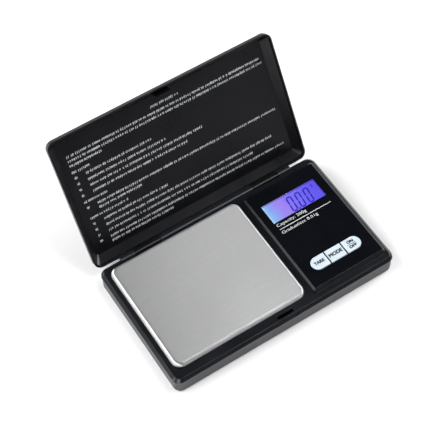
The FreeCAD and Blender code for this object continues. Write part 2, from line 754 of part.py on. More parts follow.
def build_carrier():
    body = new_body("platform_carrier")
    left = d.plate_left + d.carrier_in
    right = d.plate_right - d.carrier_in
    low = d.plate_low + d.carrier_in
    high = d.plate_high - d.carrier_in
    sketch = draw_on(body, "XY_Plane", d.carrier_low)
    rounded(sketch, left, low, right, high, d.plate_round - d.carrier_in)
    pad(body, sketch, d.carrier_t)
    sketch = draw_on(body, "XY_Plane", d.post_low)
    rectangle(sketch, d.cell_right - 12, d.cell_mid - 5.4, d.cell_right, d.cell_mid + 5.4)
    pad(body, sketch, d.carrier_low - d.post_low + 0.2)

    # Shallow fields between the stiffening ribs on the upper side.
    sketch = draw_on(body, "XY_Plane", d.carrier_low + d.carrier_t)
    step_x = (d.cell_right - 16 - left) / 3
    for column in range(3):
        x = left + step_x * column
        for near, far in ((low + 1.5, d.cell_mid - 15), (d.cell_mid + 15, high - 1.5)):
            rectangle(sketch, x + 13.5 - 12 * column / 2, near, x + step_x - 1.5 * (2 - column) / 2,
                      far)
    pocket(body, sketch, 0.5)

    # Screw holes with counterbores over the free end of the load cell.
    sketch = draw_on(body, "XY_Plane", d.carrier_low + d.carrier_t)
    for shift in (3, 9):
        disc(sketch, d.cell_right - shift, d.cell_mid, 1.3)
    pocket(body, sketch, d.carrier_low + d.carrier_t - d.post_low + 0.2)
    sketch = draw_on(body, "XY_Plane", d.carrier_low + d.carrier_t)
    for shift in (3, 9):
        disc(sketch, d.cell_right - shift, d.cell_mid, 2.6)
    pocket(body, sketch, 2.2)
    return body


def build_load_cell():
    body = new_body("load_cell")
    middle = (d.cell_low + d.cell_top) / 2
    centre = (d.cell_left + d.cell_right) / 2
    sketch = draw_on(body, "XY_Plane", d.cell_low)
    rectangle(sketch, d.cell_left, d.cell_mid - d.cell_half, d.cell_right, d.cell_mid + d.cell_half)
    pad(body, sketch, d.cell_top - d.cell_low)
    for shift in (-5, 5):
        sketch = draw_on(body, "XZ_Plane", d.cell_half + 1 - d.cell_mid)
        disc(sketch, centre + shift, middle, 1.9)
        pocket(body, sketch, d.cell_half * 2 + 2)
    sketch = draw_on(body, "XZ_Plane", d.cell_half + 1 - d.cell_mid)
    rectangle(sketch, centre - 4, middle - 0.6, centre + 4, middle + 0.6)
    pocket(body, sketch, d.cell_half * 2 + 2)
    sketch = draw_on(body, "XY_Plane", d.cell_low)
    for shift in (3, 9):
        disc(sketch, d.cell_left + shift, d.cell_mid, 1.27)
    pocket(body, sketch, 4.8, flip=True)
    sketch = draw_on(body, "XY_Plane", d.cell_top)
    for shift in (3, 9):
        disc(sketch, d.cell_right - shift, d.cell_mid, 1.5)
    pocket(body, sketch, d.cell_top - d.cell_low)
    return body


def build_gauges():
    """Four foil gauges over and under the thin places of the load cell."""
    centre = (d.cell_left + d.cell_right) / 2
    parts = []
    for shift in (-5, 5):
        for low in (d.cell_top, d.cell_low - 0.2):
            parts.append(block("gauge", centre + shift - 2.2, d.cell_mid - 2.4, low,
                               centre + shift + 2.2, d.cell_mid + 2.4, low + 0.2))
    return group("strain_gauges", *parts)


def build_wires():
    """Four thin leads from the load cell to the circuit board."""
    wires = []
    radius = size(0.3)
    height = board_top + 0.3
    side = d.cell_mid - d.cell_half - 0.02
    for i in range(4):
        body = new_body("cell_wire_%d" % (i + 1))
        x = d.cell_left + 20 + 1.5 * i
        y = side - 2.2 - 0.9 * (3 - i)
        bend = 1.5
        spine = draw_on(body, "XY_Plane", height)
        vector = FreeCAD.Vector
        half_turn = 3.141592653589793
        xn, yn, sn = x.number, y.number, side.number
        end = d.console_left + 4.5
        spine.addGeometry(Part.LineSegment(vector(xn, sn, 0), vector(xn, yn + bend, 0)), False)
        spine.addGeometry(Part.ArcOfCircle(Part.Circle(
            vector(xn + bend, yn + bend, 0), vector(0, 0, 1), bend), half_turn, 1.5 * half_turn),
            False)
        spine.addGeometry(Part.LineSegment(
            vector(xn + bend, yn, 0), vector(end.number, yn, 0)), False)
        spine.addConstraint(Sketcher.Constraint("Tangent", 0, 2, 1, 1))
        spine.addConstraint(Sketcher.Constraint("Tangent", 1, 2, 2, 1))
        spine.addConstraint(Sketcher.Constraint("Vertical", 0))
        spine.addConstraint(Sketcher.Constraint("Horizontal", 2))
        spine.addConstraint(Sketcher.Constraint("Radius", 1, bend))
        rule(spine, "DistanceX", 0, 1, x)
        rule(spine, "DistanceY", 0, 1, side)
        rule(spine, "DistanceX", 2, 2, end)
        rule(spine, "DistanceY", 2, 2, y)
        profile = draw_on(body, "XZ_Plane", -side)
        disc(profile, x, height, radius)
        step = body.newObject("PartDesign::AdditivePipe", body.Name + "_pipe")
        step.Profile = profile
        step.Spine = spine
        doc.recompute()
        wires.append(body)
    return group("load_cell_wires", *wires)


# ----------------------------------------------------------- console contents

def build_panel():
    body = new_body("display_panel")
    inset = d.console_slope + 0.23
    sketch = draw_on(body, "XY_Plane", panel_low)
    rectangle(sketch, d.console_left + inset, inset - d.console_half,
              d.console_right - inset, d.console_half - inset)
    pad(body, sketch, d.panel_t)
    sketch = draw_on(body, "XY_Plane", console_top)
    rectangle(sketch, d.window_left, d.window_low, d.window_right, d.window_high)
    rounded(sketch, d.pill_left - d.key_gap, d.pill_low - d.key_gap,
            d.pill_right + d.key_gap, d.pill_high + d.key_gap, 3.9)
    pocket(body, sketch, d.panel_t)
    # Thin webs show as dark lines between the keys.
    sketch = draw_on(body, "XY_Plane", panel_low)
    for split in (d.key_split_a, d.key_split_b):
        rectangle(sketch, split - d.key_web, d.pill_low - d.key_gap - 0.2,
                  split + d.key_web, d.pill_high + d.key_gap + 0.2)
    pad(body, sketch, d.panel_t)
    return body


def build_lens():
    body = new_body("display_lens")
    fit = 0.03
    sketch = draw_on(body, "XY_Plane", panel_low - 0.38)
    rectangle(sketch, d.window_left - 0.97, d.window_low - 0.97,
              d.window_right + 0.97, d.window_high + 0.97)
    pad(body, sketch, 0.36)
    sketch = draw_on(body, "XY_Plane", panel_low - 0.1)
    rectangle(sketch, d.window_left + fit, d.window_low + fit,
              d.window_right - fit, d.window_high - fit)
    pad(body, sketch, d.panel_t + 0.08)
    return body


front_glass_low = seat_low - 0.95
rear_glass_low = front_glass_low - d.glass_t - 0.05
glass_high = d.glass_low + 16.6


def build_display():
    """Glass sandwich, polarisers, connector strip, light guide and frame."""
    left, right, low = d.glass_left, d.glass_right, d.glass_low
    front = block("lcd_front_glass", left, low, front_glass_low,
                  right, glass_high + 2.4, front_glass_low + d.glass_t)
    rear = block("lcd_rear_glass", left, low, rear_glass_low,
                 right, glass_high, rear_glass_low + d.glass_t)
    film_top = block("film_top", left + 0.4, low + 0.4, front_glass_low + d.glass_t,
                     right - 0.4, glass_high - 0.4, front_glass_low + d.glass_t + 0.15)
    film_low = block("film_low", left + 0.4, low + 0.4, rear_glass_low - 0.15,
                     right - 0.4, glass_high - 0.4, rear_glass_low)
    films = group("lcd_polarisers", film_top, film_low)
    strip = block("connector_strip", left + 0.6, glass_high + 0.5, board_top,
                  right - 0.6, glass_high + 2.1, front_glass_low)
    guide = block("light_guide", left + 0.1, low + 0.1, board_top + 0.05,
                  right - 0.1, glass_high - 0.1, rear_glass_low - 0.2)
    lamps = []
    for x in (left - 1.15, right + 0.15):
        lamps.append(block("lamp", x, low + 6, board_top, x + 1.0, low + 9.5, board_top + 1.1))
    lamps = group("backlight_leds", *lamps)

    body = new_body("lcd_frame")
    sketch = draw_on(body, "XY_Plane", board_top)
    rectangle(sketch, left - 2.0, low - 1.2, right + 2.0, glass_high + 3.6)
    pad(body, sketch, seat_low - board_top - 0.1)
    sketch = draw_on(body, "XY_Plane", board_top)
    rectangle(sketch, left - 0.1, low - 0.1, right + 0.1, glass_high + 2.5)
    pocket(body, sketch, seat_low - board_top, flip=True)
    sketch = draw_on(body, "XY_Plane", board_top)
    rectangle(sketch, left - 1.25, low + 5.8, left, low + 9.7)
    rectangle(sketch, right, low + 5.8, right + 1.25, low + 9.7)
    pocket(body, sketch, 1.2, flip=True)
    return front, rear, films, strip, guide, lamps, body


board_left = d.console_left + 2.0
board_right = d.console_right - 2.0
board_spots = ((d.console_left + 4.6, size(-12.6)), (d.console_right - 4.6, size(-12.6)),
               (d.console_left + 4.6, size(3.6)), (d.console_right - 4.6, size(3.6)))


def build_board():
    body = new_body("circuit_board")
    sketch = draw_on(body, "XY_Plane", d.board_low)
    rectangle(sketch, board_left, -28, board_right, 29.4)
    pad(body, sketch, d.board_t)
    sketch = draw_on(body, "XY_Plane", board_top)
    for x, y in board_spots:
        disc(sketch, x, y, 1.0)
    pocket(body, sketch, d.board_t)
    return body


def build_chips():
    """Controller, converter, crystal and small parts on the board."""
    x = (board_left + board_right) / 2
    controller = block("controller_chip", x - 5, -9.5, board_top, x + 5, 0.5, board_top + 1.5)
    converter = block("converter_chip", x + 7.5, -5.5, board_top, x + 12.4, 0.5, board_top + 1.4)
    crystal = block("quartz_crystal", x - 13, -5.0, board_top, x - 9.8, 3.0, board_top + 1.6)
    small = []
    for i, (dx, dy) in enumerate(((-9.0, -10.5), (-6.5, 3.2), (-2.0, 3.2), (2.5, 3.2),
                                  (7.0, -10.5), (10.0, -10.5), (-12.2, -8.2), (7.5, 3.2))):
        small.append(block("chip_part_%d" % (i + 1), x + dx, size(dy), board_top,
                           x + dx + 2.0, size(dy) + 1.2, board_top + 0.8))
    return controller, converter, crystal, group("board_components", *small)


KEYS = (("tare_key", d.pill_left, d.key_split_a - d.key_apart, "left"),
        ("mode_key", d.key_split_a + d.key_apart, d.key_split_b - d.key_apart, None),
        ("power_key", d.key_split_b + d.key_apart, d.pill_right, "right"))


def key_outline(sketch, left, right, low, high, round_end):
    """Straight key, or one with a half-round outer end."""
    if round_end is None:
        rectangle(sketch, left, low, right, high)
        return
    radius = (high - low) / 2
    middle = (high + low) / 2
    x0 = left + radius if round_end == "left" else left
    x1 = right - radius if round_end == "right" else right
    vector = FreeCAD.Vector
    half_turn = 3.141592653589793
    a, b = x0.number, x1.number
    lo, hi, r, m = low.number, high.number, radius.number, middle.number
    sketch.addGeometry(Part.LineSegment(vector(a, lo, 0), vector(b, lo, 0)), False)
    if round_end == "right":
        sketch.addGeometry(Part.ArcOfCircle(Part.Circle(
            vector(b, m, 0), vector(0, 0, 1), r), -0.5 * half_turn, 0.5 * half_turn), False)
        sketch.addGeometry(Part.LineSegment(vector(b, hi, 0), vector(a, hi, 0)), False)
        sketch.addGeometry(Part.LineSegment(vector(a, hi, 0), vector(a, lo, 0)), False)
        arc, order = 1, ((0, 2, 1, 1, "Tangent"), (1, 2, 2, 1, "Tangent"),
                         (2, 2, 3, 1, "Coincident"), (3, 2, 0, 1, "Coincident"))
        flat, flat_x, arc_x = 3, left, x1
    else:
        sketch.addGeometry(Part.LineSegment(vector(b, lo, 0), vector(b, hi, 0)), False)
        sketch.addGeometry(Part.LineSegment(vector(b, hi, 0), vector(a, hi, 0)), False)
        sketch.addGeometry(Part.ArcOfCircle(Part.Circle(
            vector(a, m, 0), vector(0, 0, 1), r), 0.5 * half_turn, 1.5 * half_turn), False)
        arc, order = 3, ((0, 2, 1, 1, "Coincident"), (1, 2, 2, 1, "Coincident"),
                         (2, 2, 3, 1, "Tangent"), (3, 2, 0, 1, "Tangent"))
        flat, flat_x, arc_x = 1, right, x0
    for first, end, second, start, kind in order:
        sketch.addConstraint(Sketcher.Constraint(kind, first, end, second, start))
    sketch.addConstraint(Sketcher.Constraint("Horizontal", 0))
    sketch.addConstraint(Sketcher.Constraint("Vertical", flat))
    rule(sketch, "DistanceX", flat, 1, flat_x)
    rule(sketch, "DistanceX", arc, 3, arc_x)
    rule(sketch, "DistanceY", arc, 3, middle)
    rule(sketch, "DistanceY", 0, 1, low)


def build_keys():
    """Three caps, each with a retaining flange and a stem over its switch."""
    keys, switches = [], []
    flange_low = seat_low - 0.7
    for label, left, right, round_end in KEYS:
        body = new_body(label)
        sketch = draw_on(body, "XY_Plane", flange_low)
        key_outline(sketch, left, right, d.pill_low, d.pill_high, round_end)
        pad(body, sketch, console_top + d.key_proud - flange_low)
        dress(body, "Fillet", at_height(console_top + d.key_proud), 0.3)
        sketch = draw_on(body, "XY_Plane", flange_low)
        rectangle(sketch, left + 1.2, d.pill_low - 1.0, right - 1.2, d.pill_high + 1.0)
        pad(body, sketch, 0.55)
        x = (left + right) / 2
        y = (d.pill_low + d.pill_high) / 2
        sketch = draw_on(body, "XY_Plane", board_top + 2.4)
        disc(sketch, x, y, 1.6)
        pad(body, sketch, flange_low - board_top - 2.4 + 0.2)
        keys.append(body)
        base = block("switch_base", x - 2.25, y - 2.25, board_top, x + 2.25, y + 2.25,
                     board_top + 1.2)
        stud = rod("switch_stud", x, y, board_top + 1.1, 1.0, 0.7)
        switches.append(join("switch_" + label, base, stud))
    return keys + [group("key_switches", *switches)]


# --------------------------------------------------- battery bay and fasteners

def build_door():
    body = new_body("battery_door")
    left = d.door_left + 0.2
    sketch = draw_on(body, "XY_Plane", shell_low)
    rectangle(sketch, left, 0.15 - d.door_half, half_w, d.door_half - 0.15)
    pad(body, sketch, d.door_t)
    sketch = draw_on(body, "XY_Plane", shell_low + 0.5)
    rectangle(sketch, left, 0.15 - d.door_half - d.door_tongue,
              half_w - 1.0, d.door_half + d.door_tongue - 0.15)
    pad(body, sketch, d.door_t - 0.5)

    # Grip grooves across the outer face.
    sketch = draw_on(body, "XY_Plane", shell_low)
    for i in range(4):
        x = half_w - 12 + 1.8 * i
        rectangle(sketch, x, -7, x + 0.9, 7)
    pocket(body, sketch, 0.35, flip=True)
    return body


def build_coins():
    """Two like coin cells, the wide face towards the door."""
    coins = []
    for side in (-1, 1):
        y = d.coin_y * side
        can = rod("coin_can", d.bay_x, y, d.coin_low, d.coin_radius, d.coin_h - 0.45)
        cap = rod("coin_cap", d.bay_x, y, d.coin_low + d.coin_h - 0.6, d.coin_radius - 1.3, 0.6)
        coins.append(join("coin_%d" % (side + 2), can, cap))
    return group("coin_cells", *coins)


def build_contacts():
    """Leaf springs on the bay roof and side plates beside each cell."""
    springs, plates = [], []
    top = d.coin_low + d.coin_h
    roof = d.bay_roof_low
    for side in (-1, 1):
        y = d.coin_y * side
        body = new_body("cell_spring_%d" % (side + 2))
        sketch = draw_on(body, "XZ_Plane", -(y + 2.0))
        polygon(sketch, ((d.bay_x - 6.9, roof - 0.28), (d.bay_x - 6.4, roof - 0.28),
                         (d.bay_x - 4.0, roof - 0.28), (d.bay_x + 1.0, top + 0.02),
                         (d.bay_x + 5.0, roof - 0.28), (d.bay_x + 5.0, roof - 0.05),
                         (d.bay_x + 1.0, top + 0.27), (d.bay_x - 4.0, roof - 0.05),
                         (d.bay_x - 6.9, roof - 0.05)))
        pad(body, sketch, 4.0)
        sketch = draw_on(body, "XY_Plane", roof - 0.2)
        rectangle(sketch, d.bay_x - 6.85, y - 1.0, d.bay_x - 6.35, y + 1.0)
        pad(body, sketch, d.board_low - roof + 0.19)
        springs.append(body)
        x = d.bay_x + d.bay_half
        plate = block("side_plate", x - 0.35, y - 3.0, d.coin_low + 0.1, x - 0.05, y + 3.0,
                      roof - 0.05)
        tab = block("side_tab", x - 0.35, y - 1.0, roof - 0.2, x - 0.05, y + 1.0,
                    d.board_low - 0.01)
        plates.append(join("side_contact_%d" % (side + 2), plate, tab))
    return group("cell_springs", *springs), group("cell_side_contacts", *plates)


def build_fasteners():
    """Case, board, load cell and carrier screws, feet and hinge pins."""
    case = []
    for i, (x, y) in enumerate(screw_spots):
        head = rod("head", x, y, shell_low + 0.2, 1.95, 1.2)
        stem = rod("stem", x, y, shell_low + 1.3, 1.0, 6.6)
        case.append(join("case_screw_%d" % (i + 1), head, stem))
    board = []
    for i, (x, y) in enumerate(board_spots):
        head = rod("head", x, y, d.board_low - 0.8, 1.5, 0.8)
        stem = rod("stem", x, y, d.board_low - 0.1, 0.8, 3.2)
        board.append(join("board_screw_%d" % (i + 1), head, stem))
    fixed, free = [], []
    for shift in (3, 9):
        x = d.cell_left + shift
        head = taper("head", x, d.cell_mid, shell_low + 0.25, 2.4, 2.4, 0.9)
        stem = rod("stem", x, d.cell_mid, shell_low + 1.0, 1.25, 6.0)
        fixed.append(join("cell_screw_%d" % shift, head, stem))
        x = d.cell_right - shift
        seat = d.carrier_low + d.carrier_t - 2.2
        head = rod("head", x, d.cell_mid, seat, 2.4, 1.2)
        stem = rod("stem", x, d.cell_mid, seat - 6.2, 1.25, 6.3)
        free.append(join("carrier_screw_%d" % shift, head, stem))
    feet = []
    for x, y in foot_spots:
        feet.append(rod("foot", x, y, 0.0, d.foot_radius, d.foot_h + d.foot_sink))
    pins = []
    for left in (d.pin_in, -d.pin_out):
        pins.append(rod("pin", left, d.hinge_y, d.hinge_z, d.pin_radius,
                        d.pin_out - d.pin_in, along="X"))
    pads = []
    roof = d.carrier_low + d.carrier_t
    for x in (d.plate_left + 4.5, d.plate_right - 15.0):
        for y in (d.plate_low + 10.0, d.plate_high - 21.0):
            pads.append(block("tape", x, y, roof, x + 11, y + 11, d.plate_top - d.plate_t))
    return (group("case_screws", *case), group("board_screws", *board),
            group("load_cell_screws", *fixed), group("carrier_screws", *free),
            group("rubber_feet", *feet), group("hinge_pins", *pins),
            group("mounting_pads", *pads))


hinge_floor = size(6.6)

pieces = [build_bottom_shell(), build_top_cover(), build_lid(), build_platform(),
          build_carrier(), build_load_cell(), build_gauges(), build_wires(),
          build_panel(), build_lens(), build_board(), build_door(), build_coins()]
pieces.extend(build_display())
pieces.extend(build_chips())
pieces.extend(build_keys())
pieces.extend(build_contacts())
pieces.extend(build_fasteners())

doc.recompute()
for thing in doc.Objects:
    if "Invalid" in thing.State or "Error" in thing.State:
        raise RuntimeError("%s did not compute" % thing.Name)

os.makedirs("parts", exist_ok=True)
forward = FreeCAD.Vector(0, -float(sheet.get("box_mid")), 0)
for piece in pieces:
    shape = piece.Shape.copy()
    if shape.isNull() or not shape.isValid():
        raise RuntimeError("%s has no valid shape" % piece.Label)
    shape.translate(forward)
    shape.exportStep("parts/%s.step" % piece.Label)
    print("%-20s solids %d volume %9.2f" % (piece.Label, len(shape.Solids), shape.Volume))
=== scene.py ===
import json
import math
import random

import bmesh
import bpy
from bpy.props import (FloatProperty, FloatVectorProperty, IntProperty, PointerProperty,
                       StringProperty)
from mathutils import Matrix, Vector


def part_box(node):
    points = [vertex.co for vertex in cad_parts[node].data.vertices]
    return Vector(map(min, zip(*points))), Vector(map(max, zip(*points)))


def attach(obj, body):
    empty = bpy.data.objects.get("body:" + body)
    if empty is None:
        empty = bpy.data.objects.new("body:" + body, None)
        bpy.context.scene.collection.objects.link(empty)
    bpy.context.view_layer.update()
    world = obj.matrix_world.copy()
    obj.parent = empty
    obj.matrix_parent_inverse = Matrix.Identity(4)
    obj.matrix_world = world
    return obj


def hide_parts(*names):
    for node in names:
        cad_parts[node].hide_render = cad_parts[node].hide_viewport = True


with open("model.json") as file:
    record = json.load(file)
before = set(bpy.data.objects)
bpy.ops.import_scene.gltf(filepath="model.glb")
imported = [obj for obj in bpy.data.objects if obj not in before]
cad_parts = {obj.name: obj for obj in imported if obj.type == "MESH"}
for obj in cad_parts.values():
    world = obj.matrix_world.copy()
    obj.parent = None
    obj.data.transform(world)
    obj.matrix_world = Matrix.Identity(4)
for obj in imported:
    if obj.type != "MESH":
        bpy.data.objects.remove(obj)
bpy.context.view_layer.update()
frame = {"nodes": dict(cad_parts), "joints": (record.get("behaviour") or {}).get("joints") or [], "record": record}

bl_info = {
    "name": "Pocket gram scale",
    "version": (1, 0, 0),
    "blender": (4, 5, 0),
    "location": "View3D > Sidebar > Gram scale",
    "description": "Finishes, prints and display of a pocket gram scale with a hinged lid",
    "category": "Object",
}

MM = 0.001

# Half the depth of the lower case: the case drawing counts from its middle.
HALF_CASE = 36.7
MIDDLE_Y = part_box("bottom_shell")[0].y + HALF_CASE * MM

UP = (0.0, 0.0, 1.0)
DOWN = (0.0, 0.0, -1.0)


def spot(x, y, z):
    """A point given in millimetres from the middle of the base, as a place in the frame."""
    return Vector((x * MM, MIDDLE_Y + y * MM, z * MM))


def tone(red, green, blue):
    """A display colour, 0 to 255, as scene light."""
    values = []
    for part in (red, green, blue):
        part /= 255.0
        values.append(part / 12.92 if part <= 0.04045 else ((part + 0.055) / 1.055) ** 2.4)
    return tuple(values)


def shaded(colour, share, lift=0.0):
    """A colour made darker or lighter by a share, then lifted a little."""
    return tuple(min(1.0, part * share + lift) for part in colour)


# ------------------------------------------------------------------ settings

def colour_setting(name, description, value):
    return FloatVectorProperty(name=name, description=description, default=value,
                               subtype="COLOR", size=3, min=0.0, max=1.0)


def length_setting(name, description, value):
    return FloatProperty(name=name, description=description, default=value * MM,
                         subtype="DISTANCE", unit="LENGTH", precision=5)


class ScaleColours(bpy.types.PropertyGroup):
    """Colours of the moulded, printed and metal surfaces."""

    case: colour_setting("Case", "Lower case and battery door", (0.0058, 0.0072, 0.0125))
    cover: colour_setting("Cover", "Deck and console frame", (0.0036, 0.0042, 0.0066))
    lid: colour_setting("Lid", "Hinged lid", (0.0016, 0.0018, 0.0030))
    panel: colour_setting("Panel", "Printed console overlay", (0.0024, 0.0028, 0.0042))
    key: colour_setting("Keys", "Pale key caps", (0.60, 0.68, 0.76))
    legend: colour_setting("Key legends", "Print on the keys", (0.018, 0.02, 0.028))
    print_white: colour_setting("White print", "Print on the console and inside the lid",
                                (0.80, 0.81, 0.82))
    steel: colour_setting("Platform", "Brushed stainless sheet", (0.585, 0.588, 0.592))
    digit: colour_setting("Digits", "Dark segments of the display", tone(42, 30, 196))
    floor: colour_setting("Floor", "Pale table top", (0.93, 0.93, 0.935))


class ScaleSizes(bpy.types.PropertyGroup):
    """Sizes of the details added to the case."""

    digit_height: length_setting("Digit height", "Height of the figures on the display", 9.4)
    digit_width: length_setting("Digit width", "Width of one figure", 3.3)
    digit_pitch: length_setting("Digit pitch", "Distance from one figure to the next", 5.0)
    digit_bar: length_setting("Bar width", "Thickness of one segment", 0.78)
    digit_lean: FloatProperty(name="Lean", description="Slant of the figures",
                              default=math.radians(5.6), subtype="ANGLE", unit="ROTATION")
    row_mark: length_setting("Row mark spacing", "From one mark to the next in the lid's print",
                             0.93)
    row_height: length_setting("Row height", "Height of the marks in the lid's printed rows", 1.0)
    head_recess: length_setting("Recess width", "Width of the cross in a screw head", 0.55)
    foot_round: length_setting("Foot rounding", "Rounding of the rubber feet", 0.25)
    row_seed: IntProperty(name="Row seed", description="Seed of the lid's printed rows",
                          default=7, min=0)
    reading: StringProperty(name="Reading", description="Figures shown on the display",
                            default="0.00")


# ------------------------------------------------------------------ finishes

# A Mix node has sockets of the same names for each kind of data: these are the colours.
MIX_FIRST, MIX_SECOND, MIX_RESULT = 6, 7, 2


class Finish:
    """One procedural surface, built round a Principled shader."""

    def __init__(self, name, colour, roughness, metallic=0.0, specular=0.5):
        self.material = bpy.data.materials.new(name)
        self.material.use_nodes = True
        self.tree = self.material.node_tree
        self.tree.nodes.clear()
        self.output = self.add("OutputMaterial")
        self.surface = self.add("BsdfPrincipled")
        self.link(self.surface.outputs["BSDF"], self.output.inputs["Surface"])
        self.put("Base Color", (*colour, 1.0))
        self.put("Roughness", roughness)
        self.put("Metallic", metallic)
        self.put("Specular IOR Level", specular)
        self.place = self.add("TexCoord").outputs["Object"]
        self.material.diffuse_color = (*colour, 1.0)

    def add(self, kind, **settings):
        node = self.tree.nodes.new("ShaderNode" + kind)
        for name, value in settings.items():
            setattr(node, name, value)
        return node

    def link(self, source, target):
        self.tree.links.new(source, target)

    def put(self, socket, value):
        """Set a socket of the shader to one value, or feed it from a pattern."""
        if isinstance(value, bpy.types.NodeSocket):
            self.link(value, self.surface.inputs[socket])
        else:
            self.surface.inputs[socket].default_value = value

    def mapped(self, stretch=(1.0, 1.0, 1.0), turn=(0.0, 0.0, 0.0), shift=(0.0, 0.0, 0.0)):
        """The piece's own coordinates, stretched, turned and shifted."""
        node = self.add("Mapping")
        node.inputs["Scale"].default_value = stretch
        node.inputs["Rotation"].default_value = turn
        node.inputs["Location"].default_value = shift
        self.link(self.place, node.inputs["Vector"])
        return node.outputs["Vector"]

    def grain(self, scale, detail=2.0, roughness=0.5, stretch=(1.0, 1.0, 1.0),
              turn=(0.0, 0.0, 0.0)):
        """Cloudy pattern; scale is how many patches there are to the metre."""
        node = self.add("TexNoise")
        node.inputs["Scale"].default_value = scale
        node.inputs["Detail"].default_value = detail
        node.inputs["Roughness"].default_value = roughness
        self.link(self.mapped(stretch, turn), node.inputs["Vector"])
        return node.outputs["Fac"]

    def cells(self, scale):
        """Rounded pebbles, as spark-eroded moulds leave."""
        node = self.add("TexVoronoi", feature="SMOOTH_F1")
        node.inputs["Scale"].default_value = scale
        self.link(self.mapped(), node.inputs["Vector"])
        return node.outputs["Distance"]

    def fit(self, value, low, high, start=0.3, end=0.7):
        """Bring a pattern into a range."""
        node = self.add("MapRange")
        for name, number in (("From Min", start), ("From Max", end),
                             ("To Min", low), ("To Max", high)):
            node.inputs[name].default_value = number
        self.link(value, node.inputs["Value"])
        return node.outputs["Result"]

    def sums(self, first, second, operation="ADD"):
        """Two patterns put together."""
        node = self.add("Math", operation=operation)
        for socket, value in zip(node.inputs, (first, second)):
            if isinstance(value, bpy.types.NodeSocket):
                self.link(value, socket)
            else:
                socket.default_value = value
        return node.outputs["Value"]

    def shade(self, factor, first, second):
        """From one colour to another along a pattern."""
        node = self.add("Mix", data_type="RGBA")
        for name, value in (("Factor", factor), (MIX_FIRST, first), (MIX_SECOND, second)):
            socket = node.inputs[name]
            if isinstance(value, bpy.types.NodeSocket):
                self.link(value, socket)
            else:
                socket.default_value = (*value, 1.0) if isinstance(value, tuple) else value
        return node.outputs[MIX_RESULT]

    def sharp_edge_mask(self, radius):
        """One on sharp outer edges and nought on open faces."""
        soft = self.add("Bevel", samples=4)
        soft.inputs["Radius"].default_value = radius
        bare = self.add("NewGeometry")
        dot = self.add("VectorMath", operation="DOT_PRODUCT")
        self.link(soft.outputs["Normal"], dot.inputs[0])
        self.link(bare.outputs["Normal"], dot.inputs[1])
        return self.fit(dot.outputs["Value"], 1.0, 0.0, 0.86, 0.985)

    def relief(self, *layers):
        """Surface relief from patterns, each with a depth in metres."""
        normal = None
        for pattern, strength, depth in layers:
            node = self.add("Bump")
            node.inputs["Strength"].default_value = strength
            node.inputs["Distance"].default_value = depth
            self.link(pattern, node.inputs["Height"])
            if normal is not None:
                self.link(normal, node.inputs["Normal"])
            normal = node.outputs["Normal"]
        self.put("Normal", normal)


def moulded(name, colour, low, high, pebble, depth, colour_shift=0.35, specular=0.5):
    """Moulded plastic: pebbled skin, cloudy gloss, slightly polished edges and a painted highlight along them."""
    finish = Finish(name, colour, (low + high) / 2, specular=specular)
    cloud = finish.grain(55.0, 4.0, 0.6)
    speck = finish.grain(2600.0, 2.0, 0.5)
    edge = finish.sharp_edge_mask(0.0003)
    dusty = shaded(colour, 1.25, 0.0006)
    # Paler colour for the sharp edges: a painted highlight, not a colour of the plastic.
    edge_highlight = shaded(colour, 2.2, 0.003)
    base = finish.shade(finish.fit(cloud, 0.0, 1.0), shaded(colour, 0.86), dusty)
    base = finish.shade(finish.fit(speck, 0.0, 0.2, 0.45, 0.75), base, dusty)
    # Sharp edges are painted paler by the given share: a painted highlight along them.
    finish.put("Base Color", finish.shade(finish.sums(edge, colour_shift, "MULTIPLY"), base, edge_highlight))
    rough = finish.sums(finish.fit(cloud, low, high), finish.fit(speck, -0.012, 0.012))
    finish.put("Roughness", finish.sums(rough, finish.sums(edge, 0.06, "MULTIPLY"), "SUBTRACT"))
    finish.relief((finish.cells(pebble), 0.5, depth),
                  (finish.grain(pebble * 1.7, 2.0), 0.35, depth * 0.7),
                  (finish.grain(30.0, 1.0), 0.10, 0.00012))
    return finish.material


def overlay_skin(name, colour):
    """Glossy printed overlay: a faint orange peel and fine dust."""
    finish = Finish(name, colour, 0.2, specular=0.4)
    haze = finish.grain(40.0, 3.0, 0.55)
    dust = finish.grain(5200.0, 1.0)
    fine = finish.grain(900.0, 2.0)
    dust_colour = (0.03, 0.03, 0.032)
    base = finish.shade(finish.fit(haze, 0.0, 0.7), colour, shaded(colour, 1.6, 0.0008))
    finish.put("Base Color", finish.shade(finish.fit(dust, 0.0, 0.5, 0.68, 0.8), base,
                                          dust_colour))
    finish.put("Roughness", finish.sums(finish.fit(haze, 0.10, 0.15), finish.fit(fine, 0.0, 0.03)))
    finish.relief((fine, 0.12, 0.00002), (finish.grain(160.0, 1.0), 0.10, 0.00008))
    return finish.material


def brushed(name, colour, low, high, across=(0.0, 1.0, 0.0), lines=3400.0, spread=0.62):
    """Brushed metal; the brush lines run square to across."""
    finish = Finish(name, colour, (low + high) / 2, metallic=1.0)
    thin = tuple(1.0 if part else 0.10 for part in across)
    fine = finish.grain(lines, 3.0, 0.7, thin)
    broad = finish.grain(lines * 0.3, 3.0, 0.7, thin)
    cloud = finish.grain(24.0, 3.0, 0.55)
    streak = finish.sums(finish.fit(fine, 0.0, 0.65), finish.fit(broad, 0.0, 0.35))
    base = finish.shade(streak, shaded(colour, 0.904), shaded(colour, 1.06))
    smudge = shaded(colour, 0.93)
    base = finish.shade(finish.fit(cloud, 0.0, 0.7, 0.42, 0.75), base, smudge)
    speckle = finish.fit(finish.grain(2300.0, 2.0), 0.0, 0.45, 0.5, 0.8)
    finish.put("Base Color", finish.shade(speckle, base, shaded(colour, 0.9)))
    rough = finish.sums(finish.fit(fine, low, high), finish.fit(cloud, -0.02, 0.03))
    finish.put("Roughness", rough)
    finish.put("Anisotropic", spread)
    tangent = finish.add("CombineXYZ")
    for socket, part in zip(tangent.inputs, across):
        socket.default_value = part
    finish.put("Tangent", tangent.outputs["Vector"])
    finish.relief((fine, 0.28, 0.00001), (broad, 0.16, 0.00002))
    return finish.material


